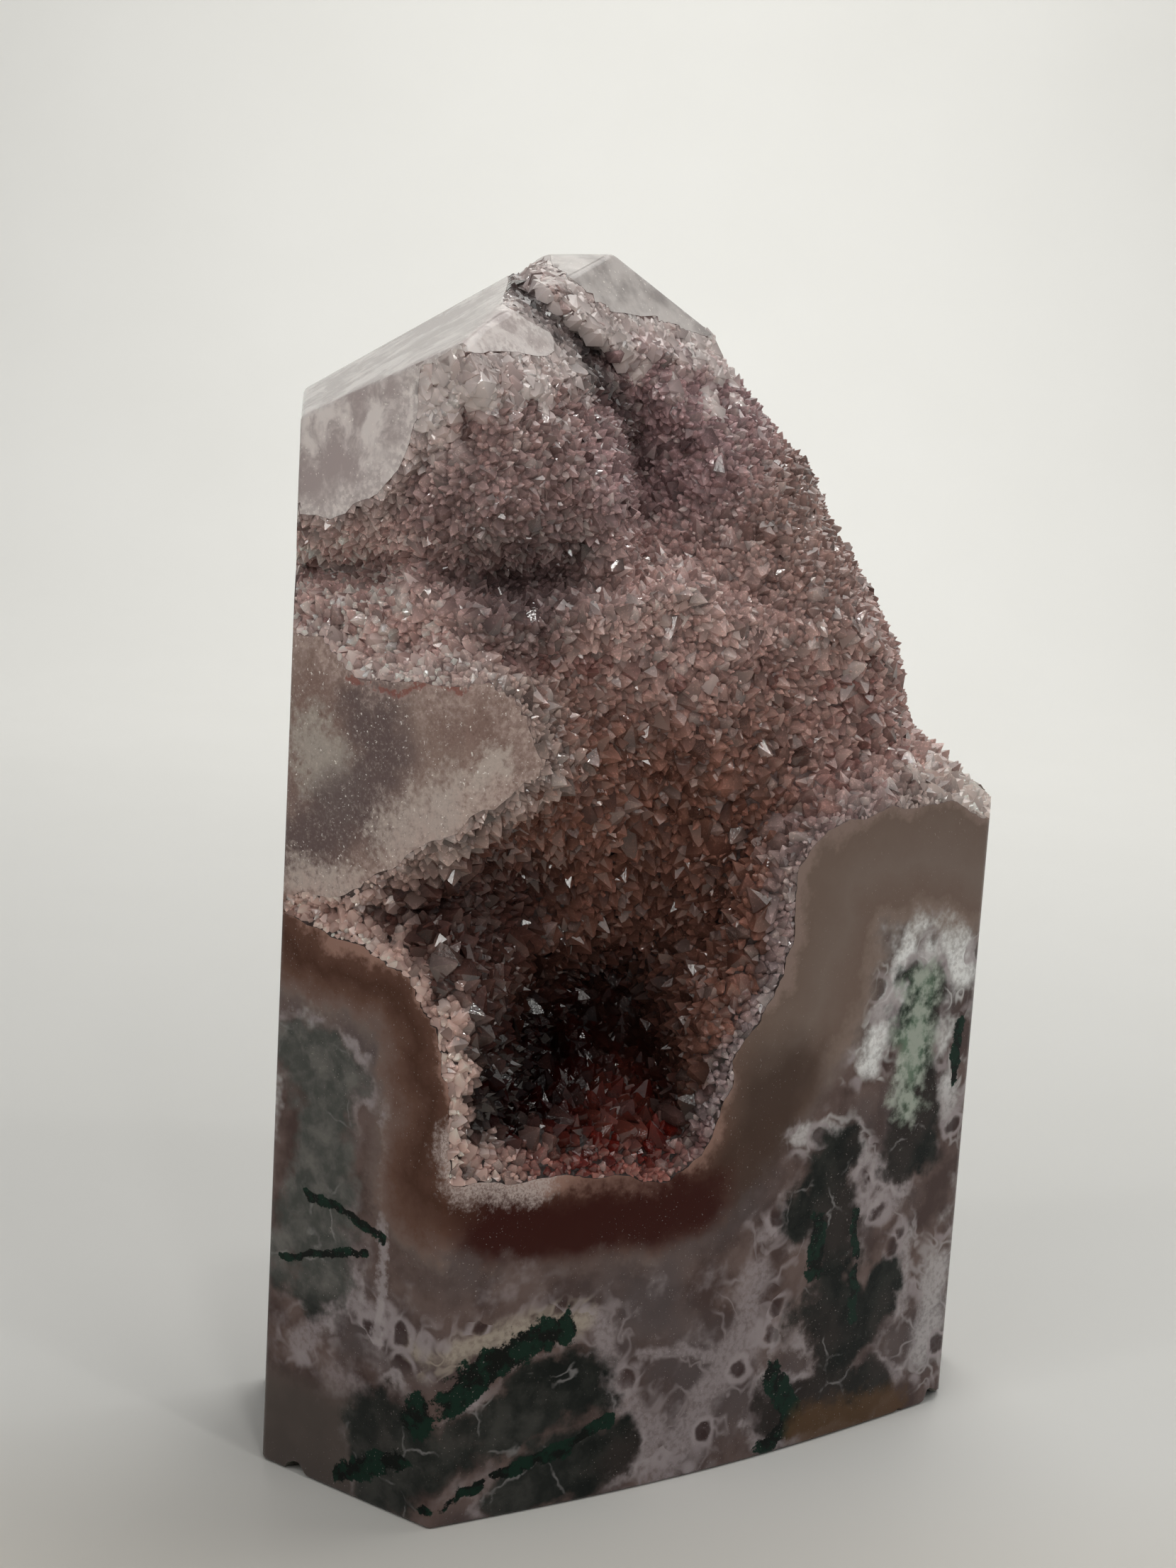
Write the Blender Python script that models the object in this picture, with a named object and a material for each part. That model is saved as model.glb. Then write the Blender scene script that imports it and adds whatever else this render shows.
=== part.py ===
"""Amethyst tower: a free-standing point of banded quartz with a crystal-lined hollow.

The stone is one solid, six polished sides and three polished top faces.  The hollow opens
across its front corner and takes away the upper right of the tower, and its lining of
small quartz points is one crust that lies on the stone like a skin.

Units are metres.  +Z is up, the base centre is the origin, and -Y is the front.
"""
import bmesh
import bpy
import numpy as np
from mathutils import Vector, noise
from mathutils.geometry import normal as plane_normal

MM = 0.001

# Corners of the tower in plan, in millimetres, anticlockwise from the front corner.
FRONT = (-16.4, -29.0)
RIGHT = (32.4, 4.3)
RIGHT_BACK = (34.4, 16.0)
BACK = (18.0, 29.0)
LEFT_BACK = (-34.6, 0.0)
LEFT = (-32.5, -17.5)
FACE_CROWN = 2.0        # how far the broad front face bows out at its middle
CROWN_STEPS = 4

# The three top faces meet at the apex.  Each passes through three of these points.
APEX = (-9.4, -3.0, 112.0)
CREST = (-3.0, 109.8)        # (y, z) on the small flat that blunts the apex
CREST_RUN = 3.0              # how far that flat runs back for each millimetre it rises
FRONT_SHOULDER = (-18.3, -27.0, 101.6)
LEFT_SHOULDER = (-32.5, -17.5, 94.5)
BACK_SHOULDER = (-34.6, 0.0, 95.8)
RIGHT_RIDGE = (3.6, 5.0, 103.4)
EDGE_CHAMFER = 0.45

# Outline of the hollow on the front faces, as (x, z) seen from the front.
HOLLOW = [
    (-38.0, 50.9), (-25.8, 50.9), (-21.0, 48.6), (-18.0, 45.0), (-16.6, 40.0), (-15.8, 31.6),
    (-9.0, 31.0), (-2.5, 30.2), (2.2, 29.4), (5.6, 30.8), (7.4, 35.0), (8.7, 41.3),
    (11.6, 45.3), (12.9, 50.4), (12.6, 57.0), (15.6, 60.4), (21.9, 62.1), (28.0, 61.9),
    (33.5, 60.8), (42.0, 62.0), (42.0, 96.0), (9.0, 103.5), (3.5, 102.4), (0.0, 103.8),
    (-2.8, 104.8), (-6.2, 104.9), (-8.7, 106.2), (-12.0, 108.6), (-14.0, 113.0),
    (-30.0, 120.0), (-30.0, 112.0), (-19.6, 106.2), (-16.6, 105.5), (-13.8, 104.7),
    (-11.9, 103.4), (-10.9, 101.0), (-14.0, 100.6), (-19.0, 100.7), (-22.0, 99.2),
    (-21.9, 96.0), (-22.9, 91.7), (-25.5, 88.2), (-30.2, 85.8), (-38.0, 85.6), (-38.0, 75.6),
    (-29.7, 76.4), (-26.9, 73.2), (-20.3, 73.8), (-14.8, 74.4), (-11.3, 71.5),
    (-9.8, 66.2), (-13.9, 63.9), (-18.0, 60.8), (-23.3, 56.8), (-27.5, 54.0), (-38.0, 52.3),
]

# The open right-hand side of the hollow: how far right the crystals reach at each height.
SIDE_HEIGHTS = [55.5, 59.2, 62.4, 64.6, 68.0, 73.0, 76.3, 80.6, 84.8, 91.0, 96.8, 101.2,
                103.6, 106.0, 112.0]
SIDE_REACH = [70.0, 35.0, 31.0, 28.0, 25.0, 24.2, 22.6, 20.4, 17.2, 14.6, 9.6, 6.4,
              5.4, 8.0, 12.0]
SIDE_ROUNDING = 5.0
SIDE_DEPTH_RATE = 2.2

# The ledge across the hollow, and the crack between the two lobes above it.
LEDGE_X = [-34.0, -10.0, 3.0, 10.0, 22.0]
LEDGE_Z = [80.8, 80.2, 81.2, 78.5, 74.0]
LEDGE_WIDTH = 2.6
CRACK_Z = [80.0, 84.2, 90.2, 94.9, 98.8, 102.1, 104.6, 107.0]
CRACK_X = [-2.6, -3.6, -4.4, -5.2, -8.3, -10.8, -14.2, -17.5]
CRACK_WIDTH = 2.4
LEDGE_WANDER = 2.0      # how far the ledge strays up and down
POCKET_DEPTH = 24.0
LUMP_SIZE = 7.5
LUMP_HEIGHT = 1.6

# The crust: its thickness, the gap behind it, and its crystal points.
CRUST = 2.3
GAP = 0.32
POINT_SPACING = 1.22    # between neighbouring grid points; the crystals are 1.7 times this apart
BACKING_SPACING = 3.0
JITTER = 0.24
SMALL_POINT = 0.45
LARGE_POINT = 1.35
POINT_REACH = 1.6
BACKING_REACH = 4.0
BACKING_BLUR = 1.9

# Chips broken out of the base's edge, as (x, y, z, radius).
CHIPS = [(31.6, 4.0, -1.5, 2.8), (28.2, -1.2, -1.9, 2.9), (24.6, -4.4, -1.4, 1.9),
         (-29.6, -20.2, -1.2, 2.2)]

# The stretch of the hollow's sheet: across, and up.
SHEET_X = (-40.0, 62.0)
SHEET_Z = (22.0, 116.0)
OUTSIDE = -7.5          # the sheet lies this far in front of the polished faces
MERGE = 0.000001
FAR_POINT = Vector((200.0, -300.0, 150.0)) * MM


def fade(value):
    """Ease from 0 to 1 as the value goes from 0 to 1."""
    t = np.clip(value, 0.0, 1.0)
    return t * t * (3.0 - 2.0 * t)


def material(name, colour, roughness):
    """A plain finish for one piece."""
    made = bpy.data.materials.new(name)
    made.use_nodes = True
    shader = made.node_tree.nodes["Principled BSDF"]
    shader.inputs["Base Color"].default_value = (*colour, 1.0)
    shader.inputs["Roughness"].default_value = roughness
    shader.inputs["Metallic"].default_value = 0.0
    made.diffuse_color = (*colour, 1.0)
    return made


def crown(t):
    """How far the broad front face stands out, from t = 0 at its left edge to 1 at its right."""
    return FACE_CROWN * np.sin(np.pi * np.clip(t, 0.0, 1.0))


def plan_outline():
    """The tower's corners in plan, with the crowned front face as a few flat strips."""
    front = np.array(FRONT)
    right = np.array(RIGHT)
    along = right - front
    out = np.array((along[1], -along[0])) / np.hypot(*along)
    steps = np.linspace(0.0, 1.0, CROWN_STEPS + 1)
    broad = [tuple(front + along * t + out * crown(t)) for t in steps]
    return broad + [RIGHT_BACK, BACK, LEFT_BACK, LEFT]


def slice_off(bm, a, b, c):
    """Cut the mesh by the plane through three points, and close it with a flat face."""
    points = [Vector(p) * MM for p in (a, b, c)]
    out = plane_normal(points)
    if out.z < 0.0:
        out = -out
    geometry = bm.verts[:] + bm.edges[:] + bm.faces[:]
    cut = bmesh.ops.bisect_plane(bm, geom=geometry, dist=1e-7, plane_co=points[0],
                                 plane_no=out, clear_outer=True)
    rim = [item for item in cut["geom_cut"] if isinstance(item, bmesh.types.BMEdge)]
    bmesh.ops.contextual_create(bm, geom=rim)


def tower(name, collection):
    """The whole polished point, before the hollow."""
    bm = bmesh.new()
    corners = [bm.verts.new((x * MM, y * MM, 0.0)) for x, y in plan_outline()]
    base = bm.faces.new(corners)
    side = bmesh.ops.extrude_face_region(bm, geom=[base])
    top = [item for item in side["geom"] if isinstance(item, bmesh.types.BMVert)]
    bmesh.ops.translate(bm, verts=top, vec=(0.0, 0.0, 130.0 * MM))
    slice_off(bm, LEFT_SHOULDER, FRONT_SHOULDER, APEX)
    slice_off(bm, FRONT_SHOULDER, RIGHT_RIDGE, APEX)
    slice_off(bm, BACK_SHOULDER, RIGHT_RIDGE, APEX)
    slice_off(bm, (0.0, *CREST), (1.0, *CREST), (0.0, CREST[0] - CREST_RUN, CREST[1] - 1.0))
    bmesh.ops.recalc_face_normals(bm, faces=bm.faces)
    edges = [edge for edge in bm.edges if edge.calc_face_angle(0.0) > 0.25]
    bmesh.ops.bevel(bm, geom=edges, offset=EDGE_CHAMFER * MM, segments=1, profile=0.5,
                    affect="EDGES", clamp_overlap=True, material=-1)
    return finish(bm, name, collection)


def finish(bm, name, collection):
    """Put a finished mesh in the scene as one object."""
    mesh = bpy.data.meshes.new(name)
    bm.to_mesh(mesh)
    bm.free()
    made = bpy.data.objects.new(name, mesh)
    collection.objects.link(made)
    return made


def inside_distance(x, z):
    """Distance in from the hollow's outline in millimetres, negative outside it."""
    outline = np.array(HOLLOW)
    nearest = np.full(x.shape, 1e9)
    inside = np.zeros(x.shape, bool)
    for (ax, az), (bx, bz) in zip(outline, np.roll(outline, -1, axis=0)):
        run, rise = bx - ax, bz - az
        t = np.clip(((x - ax) * run + (z - az) * rise) / (run * run + rise * rise), 0.0, 1.0)
        nearest = np.minimum(nearest, np.hypot(x - ax - t * run, z - az - t * rise))
        if rise:
            crosses = ((az > z) != (bz > z)) & (x < ax + run * (z - az) / rise)
            inside ^= crosses
    return np.where(inside, nearest, -nearest)


def front_surface(x, z):
    """Y of the polished front, over the two front faces and the right-hand top face."""
    slope_left = (FRONT[1] - LEFT[1]) / (FRONT[0] - LEFT[0])
    slope_right = (RIGHT[1] - FRONT[1]) / (RIGHT[0] - FRONT[0])
    t = (x - FRONT[0]) / (RIGHT[0] - FRONT[0])
    left = FRONT[1] + slope_left * (x - FRONT[0])
    right = FRONT[1] + slope_right * (x - FRONT[0]) - crown(t) * np.hypot(1.0, slope_right)
    a, b, c = (Vector(p) for p in (FRONT_SHOULDER, RIGHT_RIDGE, APEX))
    n = plane_normal((a, b, c))
    top = (a.dot(n) - n.x * x - n.z * z) / n.y
    crest = CREST[0] + CREST_RUN * (z - CREST[1])
    return np.maximum(np.maximum(left, right), np.maximum(top, crest))


def lumps(x, z, size, height):
    """Low rounded swellings of a size and a height."""
    flat = [noise.noise(Vector((a, 7.0, b)) / size) for a, b in zip(x.ravel(), z.ravel())]
    return height * np.array(flat).reshape(x.shape)


def hollow_depth(x, z):
    """How far behind the polished front the lining lies, in millimetres."""
    inward = inside_distance(x, z)
    front = front_surface(x, z)

    # Below the ledge: a bowl that deepens into the pocket behind the lower rim.
    ledge = np.interp(x, LEDGE_X, LEDGE_Z) + lumps(x, 0.0 * z, 4.5, LEDGE_WANDER)
    crest = np.interp(x, [-34.0, -22.0, -10.0, 5.0, 20.0], [1.2, 1.4, 2.2, 4.2, 5.5])
    fall = np.clip((ledge - z) / 42.0, 0.0, 1.2)
    pocket = POCKET_DEPTH * fall ** 1.6 * np.exp(-((x + 3.5) / 13.5) ** 2)
    swell = 1.6 * np.sin(np.pi * np.clip((ledge - z) / 14.0, 0.0, 1.0))
    crevice = 7.0 * np.exp(-((z - 52.2) / 2.2) ** 2) * fade((-14.0 - x) / 6.0)
    corner = 7.0 * np.exp(-((x + 13.0) / 6.5) ** 2 - ((z - 52.5) / 5.0) ** 2)
    bowl = crest + pocket + swell + np.maximum(crevice, corner)

    # Above it, left of the crack: a bulging lobe, undercut where it meets the ledge.
    near_crack = 1.0 - 0.6 * fade((x + 11.0) / 6.0)
    under = 8.5 * near_crack * np.clip((90.0 - z) / 9.0, 0.0, 1.0) ** 1.7
    lobe = 1.6 + under + 3.2 * ((x + 21.0) / 15.0) ** 2 + 0.10 * np.clip(z - 92.0, 0.0, 8.0)

    # Right of the crack: a second mass farther back, which leans forward as it comes down.
    back = -7.5 - 5.0 * fade((90.0 - z) / 13.0) + 0.40 * np.clip(x + 1.0, 0.0, 60.0)
    mass = np.maximum(back - front, 0.9)
    past_crack = x - np.interp(z, CRACK_Z, CRACK_X)
    cleft = 6.5 * np.exp(-(past_crack / 7.5) ** 2)
    blend = fade(past_crack / CRACK_WIDTH + 0.5)
    upper = lobe * (1.0 - blend) + (mass + cleft) * blend

    above = fade((z - ledge) / LEDGE_WIDTH + 0.3)
    depth = bowl * (1.0 - above) + upper * above + lumps(x, z, LUMP_SIZE, LUMP_HEIGHT)

    # Near its outline the lining rises to the polished faces, as a wall or as a broad shelf.
    in_crack = fade(1.6 - np.abs(past_crack - 0.6) / 2.2) * fade((z - 99.0) / 3.0)
    wall = 0.7 * inward + 0.30 * inward ** 2
    low_shelf = 0.5 * inward + 13.0 * fade((inward - 3.8) / 3.2) + 1.2 * np.maximum(inward - 7.0, 0.0)
    high_shelf = 0.32 * inward + 4.0 * fade((inward - 2.6) / 2.6) + np.maximum(inward - 5.0, 0.0)
    high_shelf = high_shelf + 3.0 * in_crack * inward
    low = fade((59.0 - z) / 6.0)
    high = fade((z - 91.0) / 4.0)
    wall = low_shelf * low + high_shelf * high + wall * (1.0 - low - high)
    rim = np.where(inward > 0.0, wall, 3.0 * inward)
    return np.maximum(np.minimum(depth, rim), OUTSIDE)


def lining(across, z):
    """Points of the smooth lining.  It turns back round the open right-hand side."""
    limit = np.interp(z, SIDE_HEIGHTS, SIDE_REACH)
    beyond = np.maximum(across - (limit - SIDE_ROUNDING), 0.0)
    turned = SIDE_ROUNDING * (1.0 - np.exp(-beyond / SIDE_ROUNDING))
    x = np.minimum(across, limit - SIDE_ROUNDING) + turned
    y = front_surface(x, z) + hollow_depth(x, z) + SIDE_DEPTH_RATE * (beyond - turned)
    return np.stack([x, y, z], axis=-1)


def backing(across, z):
    """The lining with its sharp turns evened out, which the back of the crust follows."""
    total = 0.0
    for step_x in (-BACKING_BLUR, 0.0, BACKING_BLUR):
        for step_z in (-BACKING_BLUR, 0.0, BACKING_BLUR):
            total = total + lining(across + step_x, z + step_z)
    return total / 9.0


def into_stone(surface, across, z, reach):
    """Unit directions from a surface into the stone, evened out over the reach."""
    along = surface(across + reach, z) - surface(across - reach, z)
    up = surface(across, z + reach) - surface(across, z - reach)
    out = np.cross(up, along)
    return out / np.linalg.norm(out, axis=-1, keepdims=True)


def space(name, collection, spacing, inset, pointed):
    """A closed cutter that fills the hollow and all the space in front of it.

    Its back is the lining, set into the stone by the inset.  With points, every third
    place of a triangular grid stands out as the tip of a six-sided crystal.
    """
    columns = int((SHEET_X[1] - SHEET_X[0]) / spacing)
    rows = int((SHEET_Z[1] - SHEET_Z[0]) / (spacing * 0.866))
    bm = bmesh.new()
    bmesh.ops.create_grid(bm, x_segments=columns, y_segments=rows, size=0.5)
    column = np.array([round((v.co.x + 0.5) * columns) for v in bm.verts])
    row = np.array([round((v.co.y + 0.5) * rows) for v in bm.verts])
    rng = np.random.default_rng(11)
    stray = JITTER * spacing * rng.uniform(-1.0, 1.0, (2, len(column)))
    across = SHEET_X[0] + (column + 0.5 * (row % 2)) * spacing + stray[0] * pointed
    height = SHEET_Z[0] + row * spacing * 0.866 + stray[1] * pointed
    surface = lining if pointed else backing
    places = surface(across, height)
    inward = into_stone(surface, across, height, POINT_REACH if pointed else BACKING_REACH)
    shift = np.full(len(places), float(inset))
    if pointed:
        chance = rng.random(len(places)) ** 1.5
        tip = (column - row // 2 - row) % 3 == 0
        low_part = fade((86.0 - height) / 30.0)
        tall = SMALL_POINT + (LARGE_POINT - SMALL_POINT) * chance * (0.45 + 0.55 * low_part)
        shift = np.where(tip, -tall, 0.25 * rng.random(len(places)))
    places = places + inward * shift[:, None]
    for vert, place in zip(bm.verts, places):
        vert.co = Vector(place) * MM

    step_of = {vert: (i, j) for vert, i, j in zip(bm.verts, column, row)}
    for face in bm.faces[:]:
        i = min(step_of[v][0] for v in face.verts)
        j = min(step_of[v][1] for v in face.verts)
        ends = [(i, j), (i + 1, j + 1)] if j % 2 else [(i + 1, j), (i, j + 1)]
        first, second = (v for v in face.verts if step_of[v] in ends)
        bmesh.utils.face_split(face, first, second)

    rim = [edge for edge in bm.edges if edge.is_boundary]
    skirt = bmesh.ops.extrude_edge_only(bm, edges=rim)["geom"]
    for vert in (item for item in skirt if isinstance(item, bmesh.types.BMVert)):
        out = Vector((vert.co.x, vert.co.y, 0.0)).normalized() * 60.0 * MM
        if vert.co.z > (SHEET_Z[1] - 4.0) * MM:
            out.z = 60.0 * MM
        vert.co += out
    far = [item for item in skirt if isinstance(item, bmesh.types.BMEdge)]
    hood = bmesh.ops.extrude_edge_only(bm, edges=far)["geom"]
    ends = [item for item in hood if isinstance(item, bmesh.types.BMVert)]
    bmesh.ops.pointmerge(bm, verts=ends, merge_co=FAR_POINT)
    bmesh.ops.recalc_face_normals(bm, faces=bm.faces)
    if bm.calc_volume(signed=True) < 0.0:
        bmesh.ops.reverse_faces(bm, faces=bm.faces)
    made = finish(bm, name, collection)
    made.hide_render = True
    made.display_type = "WIRE"
    return made


def chip(index, collection):
    """One rough lump that takes a chip out of the base's edge."""
    x, y, z, radius = CHIPS[index]
    bm = bmesh.new()
    bmesh.ops.create_icosphere(bm, subdivisions=2, radius=radius * MM)
    for vert in bm.verts:
        vert.co *= 1.0 + 0.35 * noise.noise(vert.co / (1.4 * MM) + Vector((index, 0.0, 0.0)))
    bmesh.ops.translate(bm, verts=bm.verts, vec=Vector((x, y, z)) * MM)
    made = finish(bm, f"base_chip_{index + 1}", collection)
    made.hide_render = True
    made.display_type = "WIRE"
    return made


def cut(piece, cutter, operation):
    """Add one Boolean to a piece."""
    step = piece.modifiers.new(f"{operation.lower()} {cutter.name}", "BOOLEAN")
    step.operation = operation
    step.solver = "EXACT"
    step.use_self = True
    step.object = cutter


def settle(piece):
    """Apply a piece's modifiers, and drop the loose crumbs that the cuts leave."""
    graph = bpy.context.evaluated_depsgraph_get()
    mesh = bpy.data.meshes.new_from_object(piece.evaluated_get(graph))
    piece.modifiers.clear()
    bm = bmesh.new()
    bm.from_mesh(mesh)
    bmesh.ops.remove_doubles(bm, verts=bm.verts, dist=MERGE)
    bmesh.ops.dissolve_degenerate(bm, edges=bm.edges, dist=MERGE)
    waiting = set(bm.faces)
    bodies = []
    while waiting:
        body = {waiting.pop()}
        front = list(body)
        while front:
            face = front.pop()
            for edge in face.edges:
                for other in edge.link_faces:
                    if other in waiting:
                        waiting.discard(other)
                        body.add(other)
                        front.append(other)
        bodies.append(body)
    bodies.sort(key=len)
    print(piece.name, "bodies", [len(body) for body in bodies[-6:]])
    for crumb in bodies[:-1]:
        bmesh.ops.delete(bm, geom=list(crumb), context="FACES")
    bmesh.ops.triangulate(bm, faces=bm.faces)
    bm.to_mesh(mesh)
    bm.free()
    piece.data = mesh
    print(piece.name, "triangles", len(mesh.polygons))


def main():
    for old in list(bpy.data.objects):
        bpy.data.objects.remove(old, do_unlink=True)
    parts = bpy.data.collections.new("amethyst_tower")
    cutters = bpy.data.collections.new("cutters")
    bpy.context.scene.collection.children.link(parts)
    bpy.context.scene.collection.children.link(cutters)

    stone = tower("polished_stone", parts)
    crust = tower("crystal_crust", parts)
    behind = space("space_behind_crust", cutters, BACKING_SPACING, CRUST + GAP, False)
    under = space("space_under_crust", cutters, BACKING_SPACING, CRUST, False)
    open_space = space("open_space", cutters, POINT_SPACING, 0.0, True)
    cut(stone, behind, "DIFFERENCE")
    for index in range(len(CHIPS)):
        cut(stone, chip(index, cutters), "DIFFERENCE")
    cut(crust, under, "INTERSECT")
    cut(crust, open_space, "DIFFERENCE")
    settle(stone)
    settle(crust)
    stone.data.materials.append(material("polished_quartz", (0.34, 0.27, 0.25), 0.12))
    crust.data.materials.append(material("druse_crystals", (0.42, 0.26, 0.24), 0.25))


main()
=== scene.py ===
# %% [markdown]
# # A pink amethyst tower
# The object is a free-standing point of banded quartz, about 110 mm tall, ground flat and
# polished on its outside.  A hollow lined with small quartz crystals opens across its front
# and takes away the upper right of the point.
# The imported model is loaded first.  It fixes the size and the place of everything, and
# every new piece below is made in the same frame: metres, +Z up, the base centre at the
# origin, and -Y towards the viewer.

# %% Load the fixed model
from math import radians

import bmesh
import bpy
import numpy as np
from mathutils import Matrix, Vector, kdtree, noise
from mathutils.bvhtree import BVHTree
from mathutils.geometry import normal as plane_normal


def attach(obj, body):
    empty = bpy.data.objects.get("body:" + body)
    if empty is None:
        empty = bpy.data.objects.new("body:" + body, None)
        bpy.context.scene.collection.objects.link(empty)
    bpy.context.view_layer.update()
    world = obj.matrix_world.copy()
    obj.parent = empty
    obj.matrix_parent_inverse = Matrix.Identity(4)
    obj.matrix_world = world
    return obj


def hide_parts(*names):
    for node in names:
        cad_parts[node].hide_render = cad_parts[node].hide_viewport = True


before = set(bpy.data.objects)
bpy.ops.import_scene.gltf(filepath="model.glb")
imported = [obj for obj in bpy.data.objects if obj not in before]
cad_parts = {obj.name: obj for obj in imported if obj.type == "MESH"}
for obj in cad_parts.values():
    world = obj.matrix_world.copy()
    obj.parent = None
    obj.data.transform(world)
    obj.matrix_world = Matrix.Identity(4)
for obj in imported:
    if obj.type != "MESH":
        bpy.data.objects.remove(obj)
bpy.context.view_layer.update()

MM = 0.001

# %% [markdown]
# ## Places named once
# The tower is a plan outline raised straight up and cut by three top planes, so a few
# corners fix all of its flat faces.  The hollow's outline is drawn on the front as (x, z).
# These are the same dimensions as the solid model's, in millimetres.

# %% Corners of the tower
FRONT = (-16.4, -29.0)
RIGHT = (32.4, 4.3)
RIGHT_BACK = (34.4, 16.0)
BACK = (18.0, 29.0)
LEFT_BACK = (-34.6, 0.0)
LEFT = (-32.5, -17.5)
FACE_CROWN = 2.0
CROWN_STEPS = 16
APEX = (-9.4, -3.0, 112.0)
CREST = (-3.0, 109.8)        # (y, z) on the small flat that blunts the apex
CREST_RUN = 3.0              # how far that flat runs back for each millimetre it rises
FRONT_SHOULDER = (-18.3, -27.0, 101.6)
LEFT_SHOULDER = (-32.5, -17.5, 94.5)
BACK_SHOULDER = (-34.6, 0.0, 95.8)
RIGHT_RIDGE = (3.6, 5.0, 103.4)
EDGE_CHAMFER = 0.45
FACE_GRID = 1.6         # spacing of the points that carry measurements over the polished faces

# %% Outline of the hollow, its ledge and its crack
HOLLOW = [
    (-38.0, 50.9), (-25.8, 50.9), (-21.0, 48.6), (-18.0, 45.0), (-16.6, 40.0), (-15.8, 31.6),
    (-9.0, 31.0), (-2.5, 30.2), (2.2, 29.4), (5.6, 30.8), (7.4, 35.0), (8.7, 41.3),
    (11.6, 45.3), (12.9, 50.4), (12.6, 57.0), (15.6, 60.4), (21.9, 62.1), (28.0, 61.9),
    (33.5, 60.8), (42.0, 62.0), (42.0, 96.0), (9.0, 103.5), (3.5, 102.4), (0.0, 103.8),
    (-2.8, 104.8), (-6.2, 104.9), (-8.7, 106.2), (-12.0, 108.6), (-14.0, 113.0),
    (-30.0, 120.0), (-30.0, 112.0), (-19.6, 106.2), (-16.6, 105.5), (-13.8, 104.7),
    (-11.9, 103.4), (-10.9, 101.0), (-14.0, 100.6), (-19.0, 100.7), (-22.0, 99.2),
    (-21.9, 96.0), (-22.9, 91.7), (-25.5, 88.2), (-30.2, 85.8), (-38.0, 85.6), (-38.0, 75.6),
    (-29.7, 76.4), (-26.9, 73.2), (-20.3, 73.8), (-14.8, 74.4), (-11.3, 71.5),
    (-9.8, 66.2), (-13.9, 63.9), (-18.0, 60.8), (-23.3, 56.8), (-27.5, 54.0), (-38.0, 52.3),
]
SIDE_HEIGHTS = [55.5, 59.2, 62.4, 64.6, 68.0, 73.0, 76.3, 80.6, 84.8, 91.0, 96.8, 101.2,
                103.6, 106.0, 112.0]
SIDE_REACH = [70.0, 35.0, 31.0, 28.0, 25.0, 24.2, 22.6, 20.4, 17.2, 14.6, 9.6, 6.4,
              5.4, 8.0, 12.0]
SIDE_ROUNDING = 5.0
SIDE_DEPTH_RATE = 2.2
LEDGE_X = [-34.0, -10.0, 3.0, 10.0, 22.0]
LEDGE_Z = [80.8, 80.2, 81.2, 78.5, 74.0]
LEDGE_WIDTH = 2.6
CRACK_Z = [80.0, 84.2, 90.2, 94.9, 98.8, 102.1, 104.6, 107.0]
CRACK_X = [-2.6, -3.6, -4.4, -5.2, -8.3, -10.8, -14.2, -17.5]
CRACK_WIDTH = 2.4
LEDGE_WANDER = 2.0
POCKET_DEPTH = 24.0
LUMP_SIZE = 7.5
LUMP_HEIGHT = 1.6
CHIPS = [(31.6, 4.0, -1.5, 2.8), (28.2, -1.2, -1.9, 2.9), (24.6, -4.4, -1.4, 1.9),
         (-29.6, -20.2, -1.2, 2.2)]
SHEET_X = (-40.0, 62.0)
SHEET_Z = (22.0, 116.0)
SHEET_SPACING = 0.7
OUTSIDE = -7.5
FAR_POINT = Vector((200.0, -300.0, 150.0)) * MM
print("hollow outline has", len(HOLLOW), "points")

# %% [markdown]
# ## The form of the hollow
# The lining is a sheet that lies a certain depth behind the polished front.  One function
# gives that depth from x and z: a bowl that sinks into a pocket, a ledge above it, and two
# lobes above the ledge with a crack between them.  A formula suits this better than a
# sculpted mesh, because the same surface can be asked for at any spacing.


# %% Small curves
def fade(value):
    """Ease from 0 to 1 as the value goes from 0 to 1."""
    t = np.clip(value, 0.0, 1.0)
    return t * t * (3.0 - 2.0 * t)


def crown(t):
    """How far the broad front face stands out, from t = 0 at its left edge to 1 at its right."""
    return FACE_CROWN * np.sin(np.pi * np.clip(t, 0.0, 1.0))


def front_surface(x, z):
    """Y of the polished front, over the two front faces and the right-hand top face."""
    slope_left = (FRONT[1] - LEFT[1]) / (FRONT[0] - LEFT[0])
    slope_right = (RIGHT[1] - FRONT[1]) / (RIGHT[0] - FRONT[0])
    t = (x - FRONT[0]) / (RIGHT[0] - FRONT[0])
    left = FRONT[1] + slope_left * (x - FRONT[0])
    right = FRONT[1] + slope_right * (x - FRONT[0]) - crown(t) * np.hypot(1.0, slope_right)
    a, b, c = (Vector(p) for p in (FRONT_SHOULDER, RIGHT_RIDGE, APEX))
    n = plane_normal((a, b, c))
    top = (a.dot(n) - n.x * x - n.z * z) / n.y
    crest = CREST[0] + CREST_RUN * (z - CREST[1])
    return np.maximum(np.maximum(left, right), np.maximum(top, crest))


def inside_distance(x, z):
    """Distance in from the hollow's outline in millimetres, negative outside it."""
    outline = np.array(HOLLOW)
    nearest = np.full(x.shape, 1e9)
    inside = np.zeros(x.shape, bool)
    for (ax, az), (bx, bz) in zip(outline, np.roll(outline, -1, axis=0)):
        run, rise = bx - ax, bz - az
        t = np.clip(((x - ax) * run + (z - az) * rise) / (run * run + rise * rise), 0.0, 1.0)
        nearest = np.minimum(nearest, np.hypot(x - ax - t * run, z - az - t * rise))
        if rise:
            inside ^= ((az > z) != (bz > z)) & (x < ax + run * (z - az) / rise)
    return np.where(inside, nearest, -nearest)


def lumps(x, z, size, height):
    """Low rounded swellings of a size and a height."""
    flat = [noise.noise(Vector((a, 7.0, b)) / size) for a, b in zip(x.ravel(), z.ravel())]
    return height * np.array(flat).reshape(x.shape)


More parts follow.
